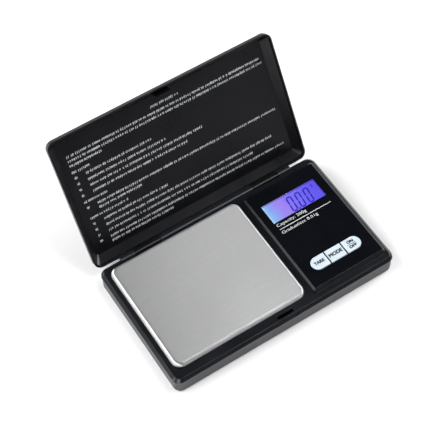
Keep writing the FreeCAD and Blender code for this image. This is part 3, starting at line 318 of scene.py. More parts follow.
def plated(name, colour, roughness, colour_shift=0.1):
    """Turned or plated metal with small scratches."""
    finish = Finish(name, colour, roughness, metallic=1.0)
    scratch = finish.grain(1800.0, 3.0, 0.7, (1.0, 0.1, 1.0), (0.0, 0.0, 0.5))
    cloud = finish.grain(260.0, 3.0)
    finish.put("Base Color", finish.shade(finish.fit(cloud, 0.0, 1.0),
                                          shaded(colour, 1.0 - colour_shift), colour))
    finish.put("Roughness", finish.fit(scratch, roughness * 0.8, roughness * 1.3))
    finish.relief((scratch, 0.2, 0.000006))
    return finish.material


def plain_stuff(name, colour, roughness, scale=900.0, depth=0.00001):
    """Small inner pieces: a slightly mottled colour with a fine skin."""
    finish = Finish(name, colour, roughness)
    mottle = finish.grain(scale, 3.0)
    finish.put("Base Color", finish.shade(finish.fit(mottle, 0.0, 1.0),
                                          shaded(colour, 0.82), shaded(colour, 1.12)))
    finish.put("Roughness", finish.fit(mottle, roughness * 0.85, min(1.0, roughness * 1.15)))
    finish.relief((finish.grain(scale * 2.0, 2.0), 0.3, depth))
    return finish.material


def ink(name, colour, roughness=0.5):
    """Screen-printed ink: thin in places, with a slightly soft surface."""
    finish = Finish(name, colour, roughness)
    thin = finish.grain(1500.0, 3.0)
    finish.put("Base Color", finish.shade(finish.fit(thin, 0.0, 1.0, 0.35, 0.6),
                                          shaded(colour, 0.8), colour))
    finish.put("Roughness", finish.fit(thin, roughness * 0.9, roughness * 1.1))
    finish.relief((thin, 0.2, 0.00001))
    return finish.material


# Colour of the display with its lamps out, and of the lit film from its left-hand end
# to its right-hand end.
UNLIT = (0.01, 0.01, 0.02)
FILM_LIGHT = (
    (0.00, tone(205, 240, 255)), (0.035, tone(150, 205, 255)), (0.10, tone(148, 181, 254)),
    (0.24, tone(163, 148, 252)), (0.36, tone(166, 140, 252)), (0.47, tone(142, 126, 255)),
    (0.66, tone(124, 112, 252)), (0.86, tone(110, 97, 250)), (1.00, tone(104, 92, 250)),
)


def lit_film(name, left, right):
    """Polariser lit from its ends: violet-blue, paler towards the left-hand lamp."""
    finish = Finish(name, UNLIT, 0.35)
    along = finish.add("SeparateXYZ")
    length = right - left
    finish.link(finish.mapped((1.0 / length, 1.0, 1.0), shift=(-left / length, 0.0, 0.0)),
                along.inputs["Vector"])
    wander = finish.fit(finish.grain(120.0, 2.0), -0.035, 0.035)
    ramp = finish.add("ValToRGB")
    finish.link(finish.sums(along.outputs["X"], wander), ramp.inputs["Fac"])
    stops = ramp.color_ramp.elements
    while len(stops) < len(FILM_LIGHT):
        stops.new(0.5)
    for element, (place, colour) in zip(stops, FILM_LIGHT):
        element.position = place
        element.color = (*colour, 1.0)
    cell = finish.fit(finish.grain(2600.0, 1.0), 0.95, 1.05)
    glow = finish.add("VectorMath", operation="SCALE")
    finish.link(ramp.outputs["Color"], glow.inputs[0])
    finish.link(cell, glow.inputs["Scale"])
    finish.put("Emission Color", glow.outputs["Vector"])
    finish.put("Emission Strength", 1.0)
    finish.put("Roughness", finish.fit(finish.grain(700.0), 0.3, 0.4))
    return finish.material


def lit_ink(name, colour):
    """Segments of the liquid crystal: dark, with a little light leaking through."""
    finish = Finish(name, UNLIT, 0.35)
    leak = finish.grain(1400.0, 2.0)
    finish.put("Emission Color", finish.shade(finish.fit(leak, 0.0, 1.0),
                                              shaded(colour, 0.86), colour))
    finish.put("Emission Strength", 1.0)
    return finish.material


def clear_window(name):
    """Clear acrylic: seen through, with the gloss of a polished face."""
    finish = Finish(name, (0.9, 0.92, 1.0), 0.03)
    clear = finish.add("BsdfTransparent")
    clear.inputs["Color"].default_value = (0.985, 0.985, 1.0, 1.0)
    gloss = finish.add("BsdfGlossy")
    smear = finish.grain(90.0, 3.0)
    finish.link(finish.fit(smear, 0.02, 0.07), gloss.inputs["Roughness"])
    sheen = finish.add("Fresnel")
    sheen.inputs["IOR"].default_value = 1.49
    both = finish.add("MixShader")
    finish.link(sheen.outputs["Fac"], both.inputs["Fac"])
    finish.link(clear.outputs["BSDF"], both.inputs[1])
    finish.link(gloss.outputs["BSDF"], both.inputs[2])
    finish.link(both.outputs["Shader"], finish.output.inputs["Surface"])
    finish.tree.nodes.remove(finish.surface)
    return finish.material


# -------------------------------------------------------------------- pieces

def settings():
    """The sizes and the colours that the user has chosen."""
    scene = bpy.context.scene
    return scene.scale_sizes, scene.scale_colours


def show(name, data):
    """Put a mesh, a line of text, a lamp or a camera in the scene as an object."""
    piece = bpy.data.objects.new(name, data)
    bpy.context.scene.collection.objects.link(piece)
    return piece


def finish_piece(piece, material, body, stands_for=()):
    """Give a piece its surface and its body, and hide the CAD nodes that it stands for."""
    piece.data.materials.clear()
    piece.data.materials.append(material)
    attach(piece, body)
    if stands_for:
        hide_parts(*stands_for)
    return piece


def body_of(node):
    """Name of the moving body that a CAD node belongs to."""
    for body, members in frame["record"]["behaviour"]["bodies"].items():
        if node in members:
            return body
    raise RuntimeError("no body holds " + node)


def smooth_by_angle(mesh, degrees):
    """Smooth shading that stops at real corners."""
    shape = bmesh.new()
    shape.from_mesh(mesh)
    for face in shape.faces:
        face.smooth = True
    limit = math.radians(degrees)
    for edge in shape.edges:
        edge.smooth = len(edge.link_faces) == 2 and edge.calc_face_angle(0.0) < limit
    shape.to_mesh(mesh)
    shape.free()


def skin_of(node, name, material, degrees=34.0):
    """A smooth skin over one moulded or pressed piece, in place of its CAD node."""
    shape = bmesh.new()
    shape.from_mesh(frame["nodes"][node].data)
    bmesh.ops.remove_doubles(shape, verts=shape.verts, dist=2e-6)
    bmesh.ops.dissolve_degenerate(shape, dist=1e-7, edges=shape.edges)
    mesh = bpy.data.meshes.new(name)
    shape.to_mesh(mesh)
    shape.free()
    stored = mesh.attributes.get("custom_normal")
    if stored:
        mesh.attributes.remove(stored)
    smooth_by_angle(mesh, degrees)
    piece = show(name, mesh)
    even = piece.modifiers.new("even_shading", "WEIGHTED_NORMAL")
    even.mode = "FACE_AREA"
    even.weight = 80
    even.keep_sharp = True
    return finish_piece(piece, material, body_of(node), (node,))


def coat_nodes(**surfaces):
    """Give CAD nodes that stay, each by its name, a better surface."""
    for node, material in surfaces.items():
        piece = frame["nodes"][node]
        if not piece.material_slots:
            raise RuntimeError(node + " has no material slot")
        for place in piece.material_slots:
            place.material = material


def flat_mesh(name, outlines, top, thick):
    """Thin plates from closed outlines of frame points, facing along top."""
    shape = bmesh.new()
    up = Vector(top).normalized()
    for outline in outlines:
        low = [shape.verts.new(Vector(point)) for point in outline]
        high = [shape.verts.new(Vector(point) + up * thick) for point in outline]
        shape.faces.new(high)
        shape.faces.new(list(reversed(low)))
        count = len(outline)
        for i in range(count):
            j = (i + 1) % count
            shape.faces.new((low[i], low[j], high[j], high[i]))
    bmesh.ops.recalc_face_normals(shape, faces=shape.faces)
    mesh = bpy.data.meshes.new(name)
    shape.to_mesh(mesh)
    shape.free()
    return mesh


def printed(name, outlines, thick, material, body, facing=UP):
    """Flat print: closed outlines as thin plates with their surface, body and slot."""
    piece = show(name, flat_mesh(name, outlines, facing, thick))
    return finish_piece(piece, material, body)


def ruled(left, low, right, high, level):
    """Outline of a printed rule, in millimetres from the middle of the base."""
    return [spot(x, y, level) for x, y in ((left, low), (right, low), (right, high), (left, high))]


# Height of a capital as a share of the type's size, how far type of size one is raised,
# and how much of that is left on the panel.
CAPITAL = 0.729
TYPE_RAISED = 0.008
PRINT_KEPT = 0.0012
RULE_THICK = 0.012 * MM


def lettering(name, text, height, place, material, body, centre=False, width=None,
              heavy=0.0):
    """Printed words as a thin raised mesh, lying in the plane of the panel.

    Heavy print is struck four times, each a little way to one side."""
    line = bpy.data.curves.new(name + "_line", "FONT")
    line.body = text
    line.size = 1.0
    line.align_x = "CENTER" if centre else "LEFT"
    line.align_y = "CENTER" if centre else "BOTTOM_BASELINE"
    line.resolution_u = 3
    line.extrude = TYPE_RAISED
    source = show(name + "_source", line)
    bpy.context.view_layer.update()
    graph = bpy.context.evaluated_depsgraph_get()
    mesh = bpy.data.meshes.new_from_object(source.evaluated_get(graph))
    bpy.data.objects.remove(source)
    bpy.data.curves.remove(line)
    across = [vertex.co.x for vertex in mesh.vertices]
    upward = [vertex.co.y for vertex in mesh.vertices]
    high = height / (max(upward) - min(upward)) if centre else height / CAPITAL
    wide = width / (max(across) - min(across)) if width else high
    anchor_x = (max(across) + min(across)) / 2 if centre else min(across)
    anchor_y = (max(upward) + min(upward)) / 2 if centre else 0.0
    for vertex in mesh.vertices:
        vertex.co = place + Vector(((vertex.co.x - anchor_x) * wide,
                                    (vertex.co.y - anchor_y) * high,
                                    (vertex.co.z + TYPE_RAISED) * PRINT_KEPT))
    if heavy:
        shape = bmesh.new()
        for aside, along in ((-1, -1), (-1, 1), (1, -1), (1, 1)):
            struck = len(shape.verts)
            shape.from_mesh(mesh)
            shape.verts.ensure_lookup_table()
            for vertex in shape.verts[struck:]:
                vertex.co += Vector((aside, along, 0.0)) * heavy
        shape.to_mesh(mesh)
        shape.free()
    mesh.name = name
    return finish_piece(show(name, mesh), material, body)


# ------------------------------------------------------------ geometry nodes

class Recipe:
    """A Geometry Nodes tree with named inputs."""

    def __init__(self, name):
        self.tree = bpy.data.node_groups.new(name, "GeometryNodeTree")
        face = self.tree.interface
        face.new_socket("Geometry", in_out="INPUT", socket_type="NodeSocketGeometry")
        face.new_socket("Geometry", in_out="OUTPUT", socket_type="NodeSocketGeometry")
        self.source = self.tree.nodes.new("NodeGroupInput")
        self.result = self.tree.nodes.new("NodeGroupOutput")
        self.identifiers = {}

    def take(self, name, kind, value):
        """A named input with its default; gives back its socket in the tree."""
        item = self.tree.interface.new_socket(name, in_out="INPUT",
                                              socket_type="NodeSocket" + kind)
        if kind != "Material":
            item.default_value = value
        self.identifiers[name] = (item.identifier, value)
        return self.source.outputs[name]

    def add(self, kind, links=None, **options):
        """A node; links holds socket names or numbers with values or other sockets."""
        node = self.tree.nodes.new(kind)
        for name, value in options.items():
            setattr(node, name, value)
        for socket, value in (links or {}).items():
            target = node.inputs[socket]
            if isinstance(value, bpy.types.NodeSocket):
                self.tree.links.new(value, target)
            else:
                target.default_value = value
        return node

    def feed(self, target, *sources):
        """Join several geometries in one socket."""
        for source in sources:
            self.tree.links.new(source, target)

    def maths(self, operation, first, second):
        """Two lengths added or multiplied."""
        node = self.add("ShaderNodeMath", {0: first, 1: second}, operation=operation)
        return node.outputs[0]

    def close(self, geometry, material):
        """Make the copies real, give them their surface and end the tree."""
        real = self.add("GeometryNodeRealizeInstances", {"Geometry": geometry})
        coated = self.add("GeometryNodeSetMaterial",
                          {"Geometry": real.outputs[0], "Material": material})
        self.tree.links.new(coated.outputs[0], self.result.inputs[0])

    def make(self, name, mesh):
        """Run the tree on a mesh and keep the result as a plain mesh."""
        piece = show(name, mesh)
        step = piece.modifiers.new(self.tree.name, "NODES")
        step.node_group = self.tree
        for identifier, value in self.identifiers.values():
            step[identifier] = value
        bpy.context.view_layer.update()
        graph = bpy.context.evaluated_depsgraph_get()
        made = bpy.data.meshes.new_from_object(piece.evaluated_get(graph))
        if not made.vertices:
            raise RuntimeError("the tree for %s made nothing" % name)
        piece.modifiers.clear()
        piece.data = made
        made.name = name
        return piece


def points_mesh(name, places):
    """Loose points for a tree to put copies on."""
    mesh = bpy.data.meshes.new(name + "_places")
    mesh.from_pydata([tuple(place) for place in places], [], [])
    return mesh


def cross_screws(name, places, head, head_high, stem, stem_long, recess, material):
    """Round-headed screws, heads down, each with a cross recess."""
    recipe = Recipe(name + "_recipe")
    radius = recipe.take("Head radius", "Float", head)
    tall = recipe.take("Head height", "Float", head_high)
    thin = recipe.take("Stem radius", "Float", stem)
    length = recipe.take("Stem length", "Float", stem_long)
    width = recipe.take("Recess width", "Float", recess)
    coat = recipe.take("Surface", "Material", material)

    def pillar(sides, wide, high, lift):
        round_bar = recipe.add("GeometryNodeMeshCylinder",
                               {"Vertices": sides, "Radius": wide, "Depth": high})
        rise = recipe.add("ShaderNodeCombineXYZ", {"Z": lift})
        return recipe.add("GeometryNodeTransform", {"Geometry": round_bar.outputs[0],
                                                    "Translation": rise.outputs[0]}).outputs[0]

    disc = pillar(40, radius, tall, recipe.maths("MULTIPLY", tall, 0.5))
    reach = recipe.maths("MULTIPLY", radius, 1.15)
    deep = recipe.maths("MULTIPLY", tall, 1.1)
    cut = recipe.add("GeometryNodeMeshBoolean", operation="DIFFERENCE", solver="EXACT")
    recipe.feed(cut.inputs["Mesh 1"], disc)
    for first, second in ((reach, width), (width, reach)):
        size = recipe.add("ShaderNodeCombineXYZ", {"X": first, "Y": second, "Z": deep})
        bar = recipe.add("GeometryNodeMeshCube", {"Size": size.outputs[0]})
        recipe.feed(cut.inputs["Mesh 2"], bar.outputs[0])
    half = recipe.maths("MULTIPLY", length, 0.5)
    rod = pillar(20, thin, length, recipe.maths("ADD", tall, half))
    whole = recipe.add("GeometryNodeJoinGeometry")
    recipe.feed(whole.inputs[0], cut.outputs[0], rod)
    turn = recipe.add("FunctionNodeRandomValue", {"Max": 1.5, "Seed": 3}, data_type="FLOAT")
    angle = recipe.add("ShaderNodeCombineXYZ", {"Z": turn.outputs[1]})
    copies = recipe.add("GeometryNodeInstanceOnPoints",
                        {"Points": recipe.source.outputs[0], "Instance": whole.outputs[0],
                         "Rotation": angle.outputs[0]})
    recipe.close(copies.outputs[0], coat)
    piece = recipe.make(name, points_mesh(name, places))
    smooth_by_angle(piece.data, 40.0)
    return piece


def lid_hinge():
    """Place on the hinge axis, and the angle from shut to open."""
    hinge = next(joint for joint in frame["joints"] if joint["name"] == "lid_hinge")
    return Vector(hinge["pos_m"]), math.radians(hinge["range_deg"][1])


def lid_matrix():
    """From the closed lid, measured from the hinge axis, to the open one."""
    axis, angle = lid_hinge()
    return Matrix.Translation(axis) @ Matrix.Rotation(-angle, 4, "X")


# Printed rows inside the lid: start and end along the hinge and distance from the
# hinge-side rim, in millimetres.
LID_ROWS = (
    (-6.3, 9.0, 63.5), (-54.5, 55.3, 60.1), (-54.5, 56.4, 57.5), (-54.5, -37.5, 54.9),
    (-54.8, -45.8, 51.3), (-48.3, -12.0, 48.0), (-48.3, -5.0, 44.5), (-48.3, 15.3, 41.1),
    (-48.3, 5.3, 37.6), (-54.8, -42.3, 33.9), (-48.3, 56.0, 30.6), (-48.3, -24.8, 28.0),
    (-54.8, -34.0, 24.5), (-48.3, -12.0, 21.1), (-48.3, 49.3, 17.6), (-48.3, 36.8, 14.1),
    (-48.3, 54.8, 10.6), (-48.3, -13.3, 8.0),
)
# Rows that open with a mark of their own, and where that mark starts and ends.
ITEM_ROWS = (48.0, 44.5, 41.1, 37.6, 30.6, 21.1, 17.6, 14.1, 10.6)
ITEM_MARK = (-54.4, -53.7)
# Height of the shut lid's inner floor and place of its hinge-side rim.
LID_FLOOR = 16.65
LID_EDGE = 36.6
# Marks in a word, the gap after it and the shortest word at the end of a row, both in
# mark spacings.
WORD_LENGTHS = (2, 2, 3, 3, 4, 5, 5, 6, 7, 8, 10)
WORD_GAP = 1.62
SHORTEST_END = 3.0


def lid_spot(x, from_edge):
    """A place on the inner floor of the shut lid, measured from the hinge axis."""
    return spot(x, LID_EDGE - from_edge, LID_FLOOR) - lid_hinge()[0]


# Shapes that stand for small print without being letters, each a few bars: middle x and
# y, width and height, in shares of the height of a mark.
MARK_SHAPES = (
    ((-0.3, 0.0, 0.18, 1.0), (0.3, 0.0, 0.18, 1.0), (0.0, 0.41, 0.44, 0.18),
     (0.0, -0.41, 0.44, 0.18), (0.0, 0.0, 0.2, 0.24)),
    ((0.0, 0.1, 0.2, 1.3), (-0.2, 0.4, 0.3, 0.2), (0.2, -0.4, 0.3, 0.2)),
    ((0.0, 0.0, 0.2, 0.9), (-0.16, 0.4, 0.5, 0.18), (0.16, 0.0, 0.5, 0.16),
     (-0.16, -0.4, 0.5, 0.18)),
    ((-0.3, -0.15, 0.18, 0.7), (0.0, 0.05, 0.18, 1.1), (0.3, -0.15, 0.18, 0.7),
     (0.0, -0.42, 0.78, 0.16)),
    ((-0.1, 0.45, 0.2, 0.9), (0.1, -0.15, 0.2, 0.7)),
    ((0.0, 0.0, 0.2, 1.0), (0.16, 0.42, 0.5, 0.16), (-0.16, 0.1, 0.5, 0.16),
     (0.16, -0.24, 0.5, 0.16)),
    ((-0.2, 0.2, 0.2, 1.4), (0.24, -0.1, 0.2, 0.8), (0.0, 0.22, 0.78, 0.18),
     (0.0, -0.24, 0.78, 0.18)),
    ((-0.26, 0.05, 0.2, 0.9), (0.2, -0.2, 0.2, 1.4), (0.0, 0.3, 0.76, 0.18),
     (-0.05, -0.14, 0.4, 0.18)),
    ((-0.2, 0.14, 0.2, 0.8), (0.2, -0.14, 0.2, 0.8), (0.0, 0.0, 0.72, 0.18)),
)


def row_words(sizes):
    """The printed rows as short lines, one to a word."""
    dice = random.Random(sizes.row_seed)
    pitch = sizes.row_mark / MM
    corners, lines = [], []

    def word(start, end, from_edge):
        corners.extend((tuple(lid_spot(start, from_edge)), tuple(lid_spot(end, from_edge))))
        lines.append((len(corners) - 2, len(corners) - 1))

    for start, end, from_edge in LID_ROWS:
        x = start
        while x < end - pitch:
            marks = dice.choice(WORD_LENGTHS)
            stop = min(end, x + (marks - 1) * pitch)
            if end - stop < SHORTEST_END * pitch:
                stop = end
            word(x, stop, from_edge)
            x = stop + WORD_GAP * pitch
    for from_edge in ITEM_ROWS:
        word(*ITEM_MARK, from_edge)
    mesh = bpy.data.meshes.new("row_lines")
    mesh.from_pydata(corners, lines, [])
    return mesh


def row_marks(sizes, material):
    """Rows of small bar shapes, picked at random, that stand for lines of small print."""
    recipe = Recipe("printed_rows")
    pitch = recipe.take("Mark spacing", "Float", sizes.row_mark)
    tall = recipe.take("Mark height", "Float", sizes.row_height)
    seed = recipe.take("Seed", "Int", sizes.row_seed)
    coat = recipe.take("Surface", "Material", material)
    line = recipe.add("GeometryNodeMeshToCurve", {"Mesh": recipe.source.outputs[0]})
    dots = recipe.add("GeometryNodeResampleCurve", {"Curve": line.outputs[0], "Length": pitch},
                      mode="LENGTH")
    places = recipe.add("GeometryNodeCurveToPoints", {"Curve": dots.outputs[0]}, mode="EVALUATED")
    shapes = recipe.add("GeometryNodeJoinGeometry")
    for bars in MARK_SHAPES:
        mark = recipe.add("GeometryNodeJoinGeometry")
        for x, y, wide, high in bars:
            bar = recipe.add("GeometryNodeMeshCube", {"Size": (wide, high, 0.04)})
            moved = recipe.add("GeometryNodeTransform", {"Geometry": bar.outputs[0],
                                                         "Translation": (x, y, 0.0)})
            recipe.feed(mark.inputs[0], moved.outputs[0])
        single = recipe.add("GeometryNodeGeometryToInstance", {0: mark.outputs[0]})
        recipe.feed(shapes.inputs[0], single.outputs[0])
    pick = recipe.add("FunctionNodeRandomValue", {"Seed": seed}, data_type="INT")
    pick.inputs[4].default_value = 0
    pick.inputs[5].default_value = len(MARK_SHAPES) - 1
    size = recipe.add("ShaderNodeCombineXYZ", {"X": tall, "Y": tall, "Z": tall})
    copies = recipe.add("GeometryNodeInstanceOnPoints",
                        {"Points": places.outputs[0], "Instance": shapes.outputs[0],
                         "Pick Instance": True, "Instance Index": pick.outputs[2],
                         "Scale": size.outputs[0]})
    recipe.close(copies.outputs[0], coat)
    return recipe.make("lid_print", row_words(sizes))


# Segments of one figure, clockwise from the top, then the middle bar: place as a
# share of half the width and half the height, and whether the bar lies flat.
SEGMENTS = {
    "a": (0.0, 1.0, True), "b": (1.0, 0.5, False), "c": (1.0, -0.5, False),
    "d": (0.0, -1.0, True), "e": (-1.0, -0.5, False), "f": (-1.0, 0.5, False),
    "g": (0.0, 0.0, True),
}
FIGURES = {
    "0": "abcdef", "1": "bc", "2": "abged", "3": "abgcd", "4": "fgbc", "5": "afgcd",
    "6": "afgedc", "7": "abc", "8": "abcdefg", "9": "abcdfg",
}


def segment_outline(x, y, length, bar, flat):
    """A bar with pointed ends, lying or upright."""
    half, tip = length / 2, bar / 2
    outline = ((-half, 0.0), (tip - half, -tip), (half - tip, -tip),
               (half, 0.0), (half - tip, tip), (tip - half, tip))
    if not flat:
        outline = tuple((-b, a) for a, b in outline)
    return [(x + a, y + b) for a, b in outline]


def reading_outlines(sizes, left, foot, level):
    """Outlines of the lit figures, leaning to the right."""
    wide = sizes.digit_width - sizes.digit_bar
    tall = sizes.digit_height - sizes.digit_bar
    lean = math.tan(sizes.digit_lean)
    outlines = []
    x = left
    for sign in sizes.reading:
        if sign == ".":
            dot = sizes.digit_bar * 0.62
            middle = x - (sizes.digit_pitch - sizes.digit_width) / 2 - sizes.digit_bar * 0.1
            round_dot = [(middle + dot * math.cos(a * math.pi / 8),
                          foot + dot * 0.75 + dot * math.sin(a * math.pi / 8))
                         for a in range(16)]
            outlines.append(round_dot)
            continue
        for key in FIGURES[sign]:
            across, up, flat = SEGMENTS[key]
            length = (wide if flat else tall / 2) - sizes.digit_bar * 0.22
            outlines.append(segment_outline(x + sizes.digit_width / 2 + across * wide / 2,
                                            foot + sizes.digit_height / 2 + up * tall / 2,
                                            length, sizes.digit_bar, flat))
        x += sizes.digit_pitch
    return [[Vector((a + (b - foot) * lean, b, level)) for a, b in outline]
            for outline in outlines]


# ----------------------------------------------------------------- operators

class SCALE_OT_case(bpy.types.Operator):
    """Lower case, battery door and rubber feet"""
    bl_idname = "gram_scale.case"
    bl_label = "Case"

    def execute(self, context):
        sizes, colours = settings()
        shell = moulded("case_plastic", tuple(colours.case), 0.30, 0.38, 3000.0, 0.000015)
        skin_of("bottom_shell", "case_lower", shell)
        skin_of("battery_door", "battery_cover", shell)
        rubber = plain_stuff("foot_rubber", (0.016, 0.016, 0.017), 0.75, 1800.0, 0.00003)
        foot = skin_of("rubber_feet", "feet", rubber, 50.0)
        soften = foot.modifiers.new("soft_rim", "BEVEL")
        soften.width = sizes.foot_round
        soften.segments = 3
        soften.limit_method = "ANGLE"
        soften.angle_limit = math.radians(50)
        foot.modifiers.move(len(foot.modifiers) - 1, 0)
        return {"FINISHED"}


class SCALE_OT_cover(bpy.types.Operator):
    """Deck and console frame"""
    bl_idname = "gram_scale.cover"
    bl_label = "Cover"

    def execute(self, context):
        colours = settings()[1]
        deck = moulded("cover_plastic", tuple(colours.cover), 0.27, 0.34, 2600.0, 0.000012)
        skin_of("top_cover", "deck", deck)
        return {"FINISHED"}


class SCALE_OT_lid(bpy.types.Operator):
    """Hinged lid with its hinge pins"""
    bl_idname = "gram_scale.lid"
    bl_label = "Lid"

    def execute(self, context):
        colours = settings()[1]
        skin = moulded("lid_plastic", tuple(colours.lid), 0.27, 0.34, 2400.0, 0.000006,
                       colour_shift=0.25, specular=0.34)
        skin_of("lid", "lid_tray", skin)
        skin_of("hinge_pins", "pins", plated("pin_steel", (0.6, 0.6, 0.61), 0.25))
        return {"FINISHED"}


class SCALE_OT_lid_print(bpy.types.Operator):
    """Rows of small print inside the lid, as plain marks"""
    bl_idname = "gram_scale.lid_print"
    bl_label = "Lid print"

    def execute(self, context):
        sizes, colours = settings()
        white = ink("lid_ink", tuple(colours.print_white), 0.55)
        rows = row_marks(sizes, white)
        rows.data.transform(lid_matrix())
        finish_piece(rows, white, "lid")
        return {"FINISHED"}


class SCALE_OT_platform(bpy.types.Operator):
    """Brushed weighing platform on its carrier"""
    bl_idname = "gram_scale.platform"
    bl_label = "Platform"

    def execute(self, context):
        colours = settings()[1]
        steel = brushed("platform_sheet", tuple(colours.steel), 0.44, 0.52, spread=0.86)
        skin_of("weighing_platform", "platform", steel, 40.0)
        coat_nodes(
            platform_carrier=moulded("carrier_plastic", (0.012, 0.012, 0.013), 0.42, 0.52,
                                     2400.0, 0.00002),
            mounting_pads=plain_stuff("foam_tape", (0.72, 0.72, 0.69), 0.9, 1500.0, 0.00004))
        return {"FINISHED"}


class SCALE_OT_display(bpy.types.Operator):
    """Console overlay, window, lit film and figures"""
    bl_idname = "gram_scale.display"
    bl_label = "Display"

    def execute(self, context):
        sizes, colours = settings()
        skin_of("display_panel", "console_overlay",
                overlay_skin("console_print", tuple(colours.panel)))
        low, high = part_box("display_lens")
        edge = 0.97 * MM
        glass = plain_stuff("cell_glass", (0.35, 0.33, 0.55), 0.08)
        coat_nodes(
            display_lens=clear_window("window_acrylic"),
            lcd_polarisers=lit_film("lit_polariser", low.x + edge, high.x - edge),
            lcd_front_glass=glass, lcd_rear_glass=glass,
            lcd_frame=moulded("frame_plastic", (0.01, 0.01, 0.01), 0.5, 0.6, 2400.0, 0.00002),
            connector_strip=plain_stuff("layered_rubber", (0.42, 0.3, 0.28), 0.8, 4000.0),
            light_guide=plain_stuff("light_guide_plastic", (0.8, 0.82, 0.95), 0.2),
            backlight_leds=plain_stuff("lamp_body", (0.85, 0.83, 0.72), 0.4))
        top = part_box("lcd_polarisers")[1].z
        start = spot(36.35, 12.05, 0.0)
        dark = lit_ink("segment_blue", tuple(colours.digit))
        figures = reading_outlines(sizes, start.x, start.y, top)
        printed("figures", figures, 0.03 * MM, dark, "base")
        lettering("unit_mark", "g", 1.9 * MM, Vector((0, 0, top)) + spot(52.9, 20.6, 0.0),
                  dark, "base", centre=True)
        return {"FINISHED"}


class SCALE_OT_console_print(bpy.types.Operator):
    """Rating lines and rule printed on the console"""
    bl_idname = "gram_scale.console_print"
    bl_label = "Console print"

    def execute(self, context):
        colours = settings()[1]
        white = ink("console_ink", tuple(colours.print_white), 0.45)
        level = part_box("display_panel")[1].z / MM
        for name, words, foot, wide in (("capacity_line", "Capacity: 200g", 8.05, 17.6),
                                        ("division_line", "Graduation: 0.01g", 3.35, 21.4)):
            lettering(name, words, 1.72 * MM, spot(23.8, foot, level), white, "base",
                      width=wide * MM)
        printed("console_rule", [ruled(23.9, 6.08, 54.9, 6.42, level)], RULE_THICK, white,
                "base")
        return {"FINISHED"}


class SCALE_OT_keys(bpy.types.Operator):
    """Three pale keys with their legends"""
    bl_idname = "gram_scale.keys"
    bl_label = "Keys"

    def execute(self, context):
        colours = settings()[1]
        finish = Finish("key_plastic", tuple(colours.key), 0.3)
        cloud = finish.grain(220.0, 3.0)
        touch = finish.grain(900.0, 2.0)
        edge = finish.sharp_edge_mask(0.0003)
        pale = finish.shade(finish.fit(cloud, 0.0, 1.0), shaded(colours.key, 0.95),
                            shaded(colours.key, 1.03))
        # Sharp edges of the keys are painted paler: a painted highlight along them.
        finish.put("Base Color", finish.shade(finish.sums(edge, 0.3, "MULTIPLY"), pale,
                                              (0.92, 0.95, 0.98)))
        finish.put("Roughness", finish.fit(touch, 0.26, 0.36))
        finish.relief((touch, 0.15, 0.00001))
        dark = ink("legend_ink", tuple(colours.legend), 0.5)
        for node, legends in (
                ("tare_key", (("TARE", 29.4, -19.95, 1.62, 5.6),)),
                ("mode_key", (("MODE", 39.15, -20.0, 1.9, 7.5),)),
                ("power_key", (("ON", 48.75, -18.55, 1.45, 3.5),
                               ("OFF", 48.75, -21.45, 1.45, 4.1)))):
            body = body_of(node)
            skin_of(node, node.replace("key", "cap"), finish.material, 30.0)
            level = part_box(node)[1].z / MM
            for number, (word, x, y, tall, wide) in enumerate(legends):
                lettering("%s_legend_%d" % (node, number + 1), word, tall * MM,
                          spot(x, y, level), dark, body, centre=True,
                          width=wide * MM, heavy=0.12 * MM)
            if len(legends) > 1:
                printed("power_key_rule", [ruled(46.3, -20.15, 51.1, -19.87, level)],
                        RULE_THICK, dark, body)
        return {"FINISHED"}


class SCALE_OT_fasteners(bpy.types.Operator):
    """Screws with cross recesses"""
    bl_idname = "gram_scale.fasteners"
    bl_label = "Fasteners"

    def execute(self, context):
        sizes = settings()[0]
        zinc = plated("zinc_steel", (0.42, 0.42, 0.43), 0.34, 0.25)
        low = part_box("case_screws")[0].z / MM
        corners = [(-59, -32), (59, -32), (59, 32), (-59, 32), (15, -32), (15, 32)]
        case = cross_screws("case_fixings", [spot(x, y, low) for x, y in corners],
                            1.95 * MM, 1.2 * MM, 1.0 * MM, 6.45 * MM, sizes.head_recess, zinc)
        finish_piece(case, zinc, "base", ("case_screws",))
        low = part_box("load_cell_screws")[0].z / MM
        cell = cross_screws("cell_fixings", [spot(x, 0.95, low) for x in (-42, -36)],
                            2.4 * MM, 0.9 * MM, 1.25 * MM, 5.8 * MM, sizes.head_recess * 1.3, zinc)
        finish_piece(cell, zinc, "base", ("load_cell_screws",))
        coat_nodes(board_screws=zinc, carrier_screws=zinc)
        return {"FINISHED"}


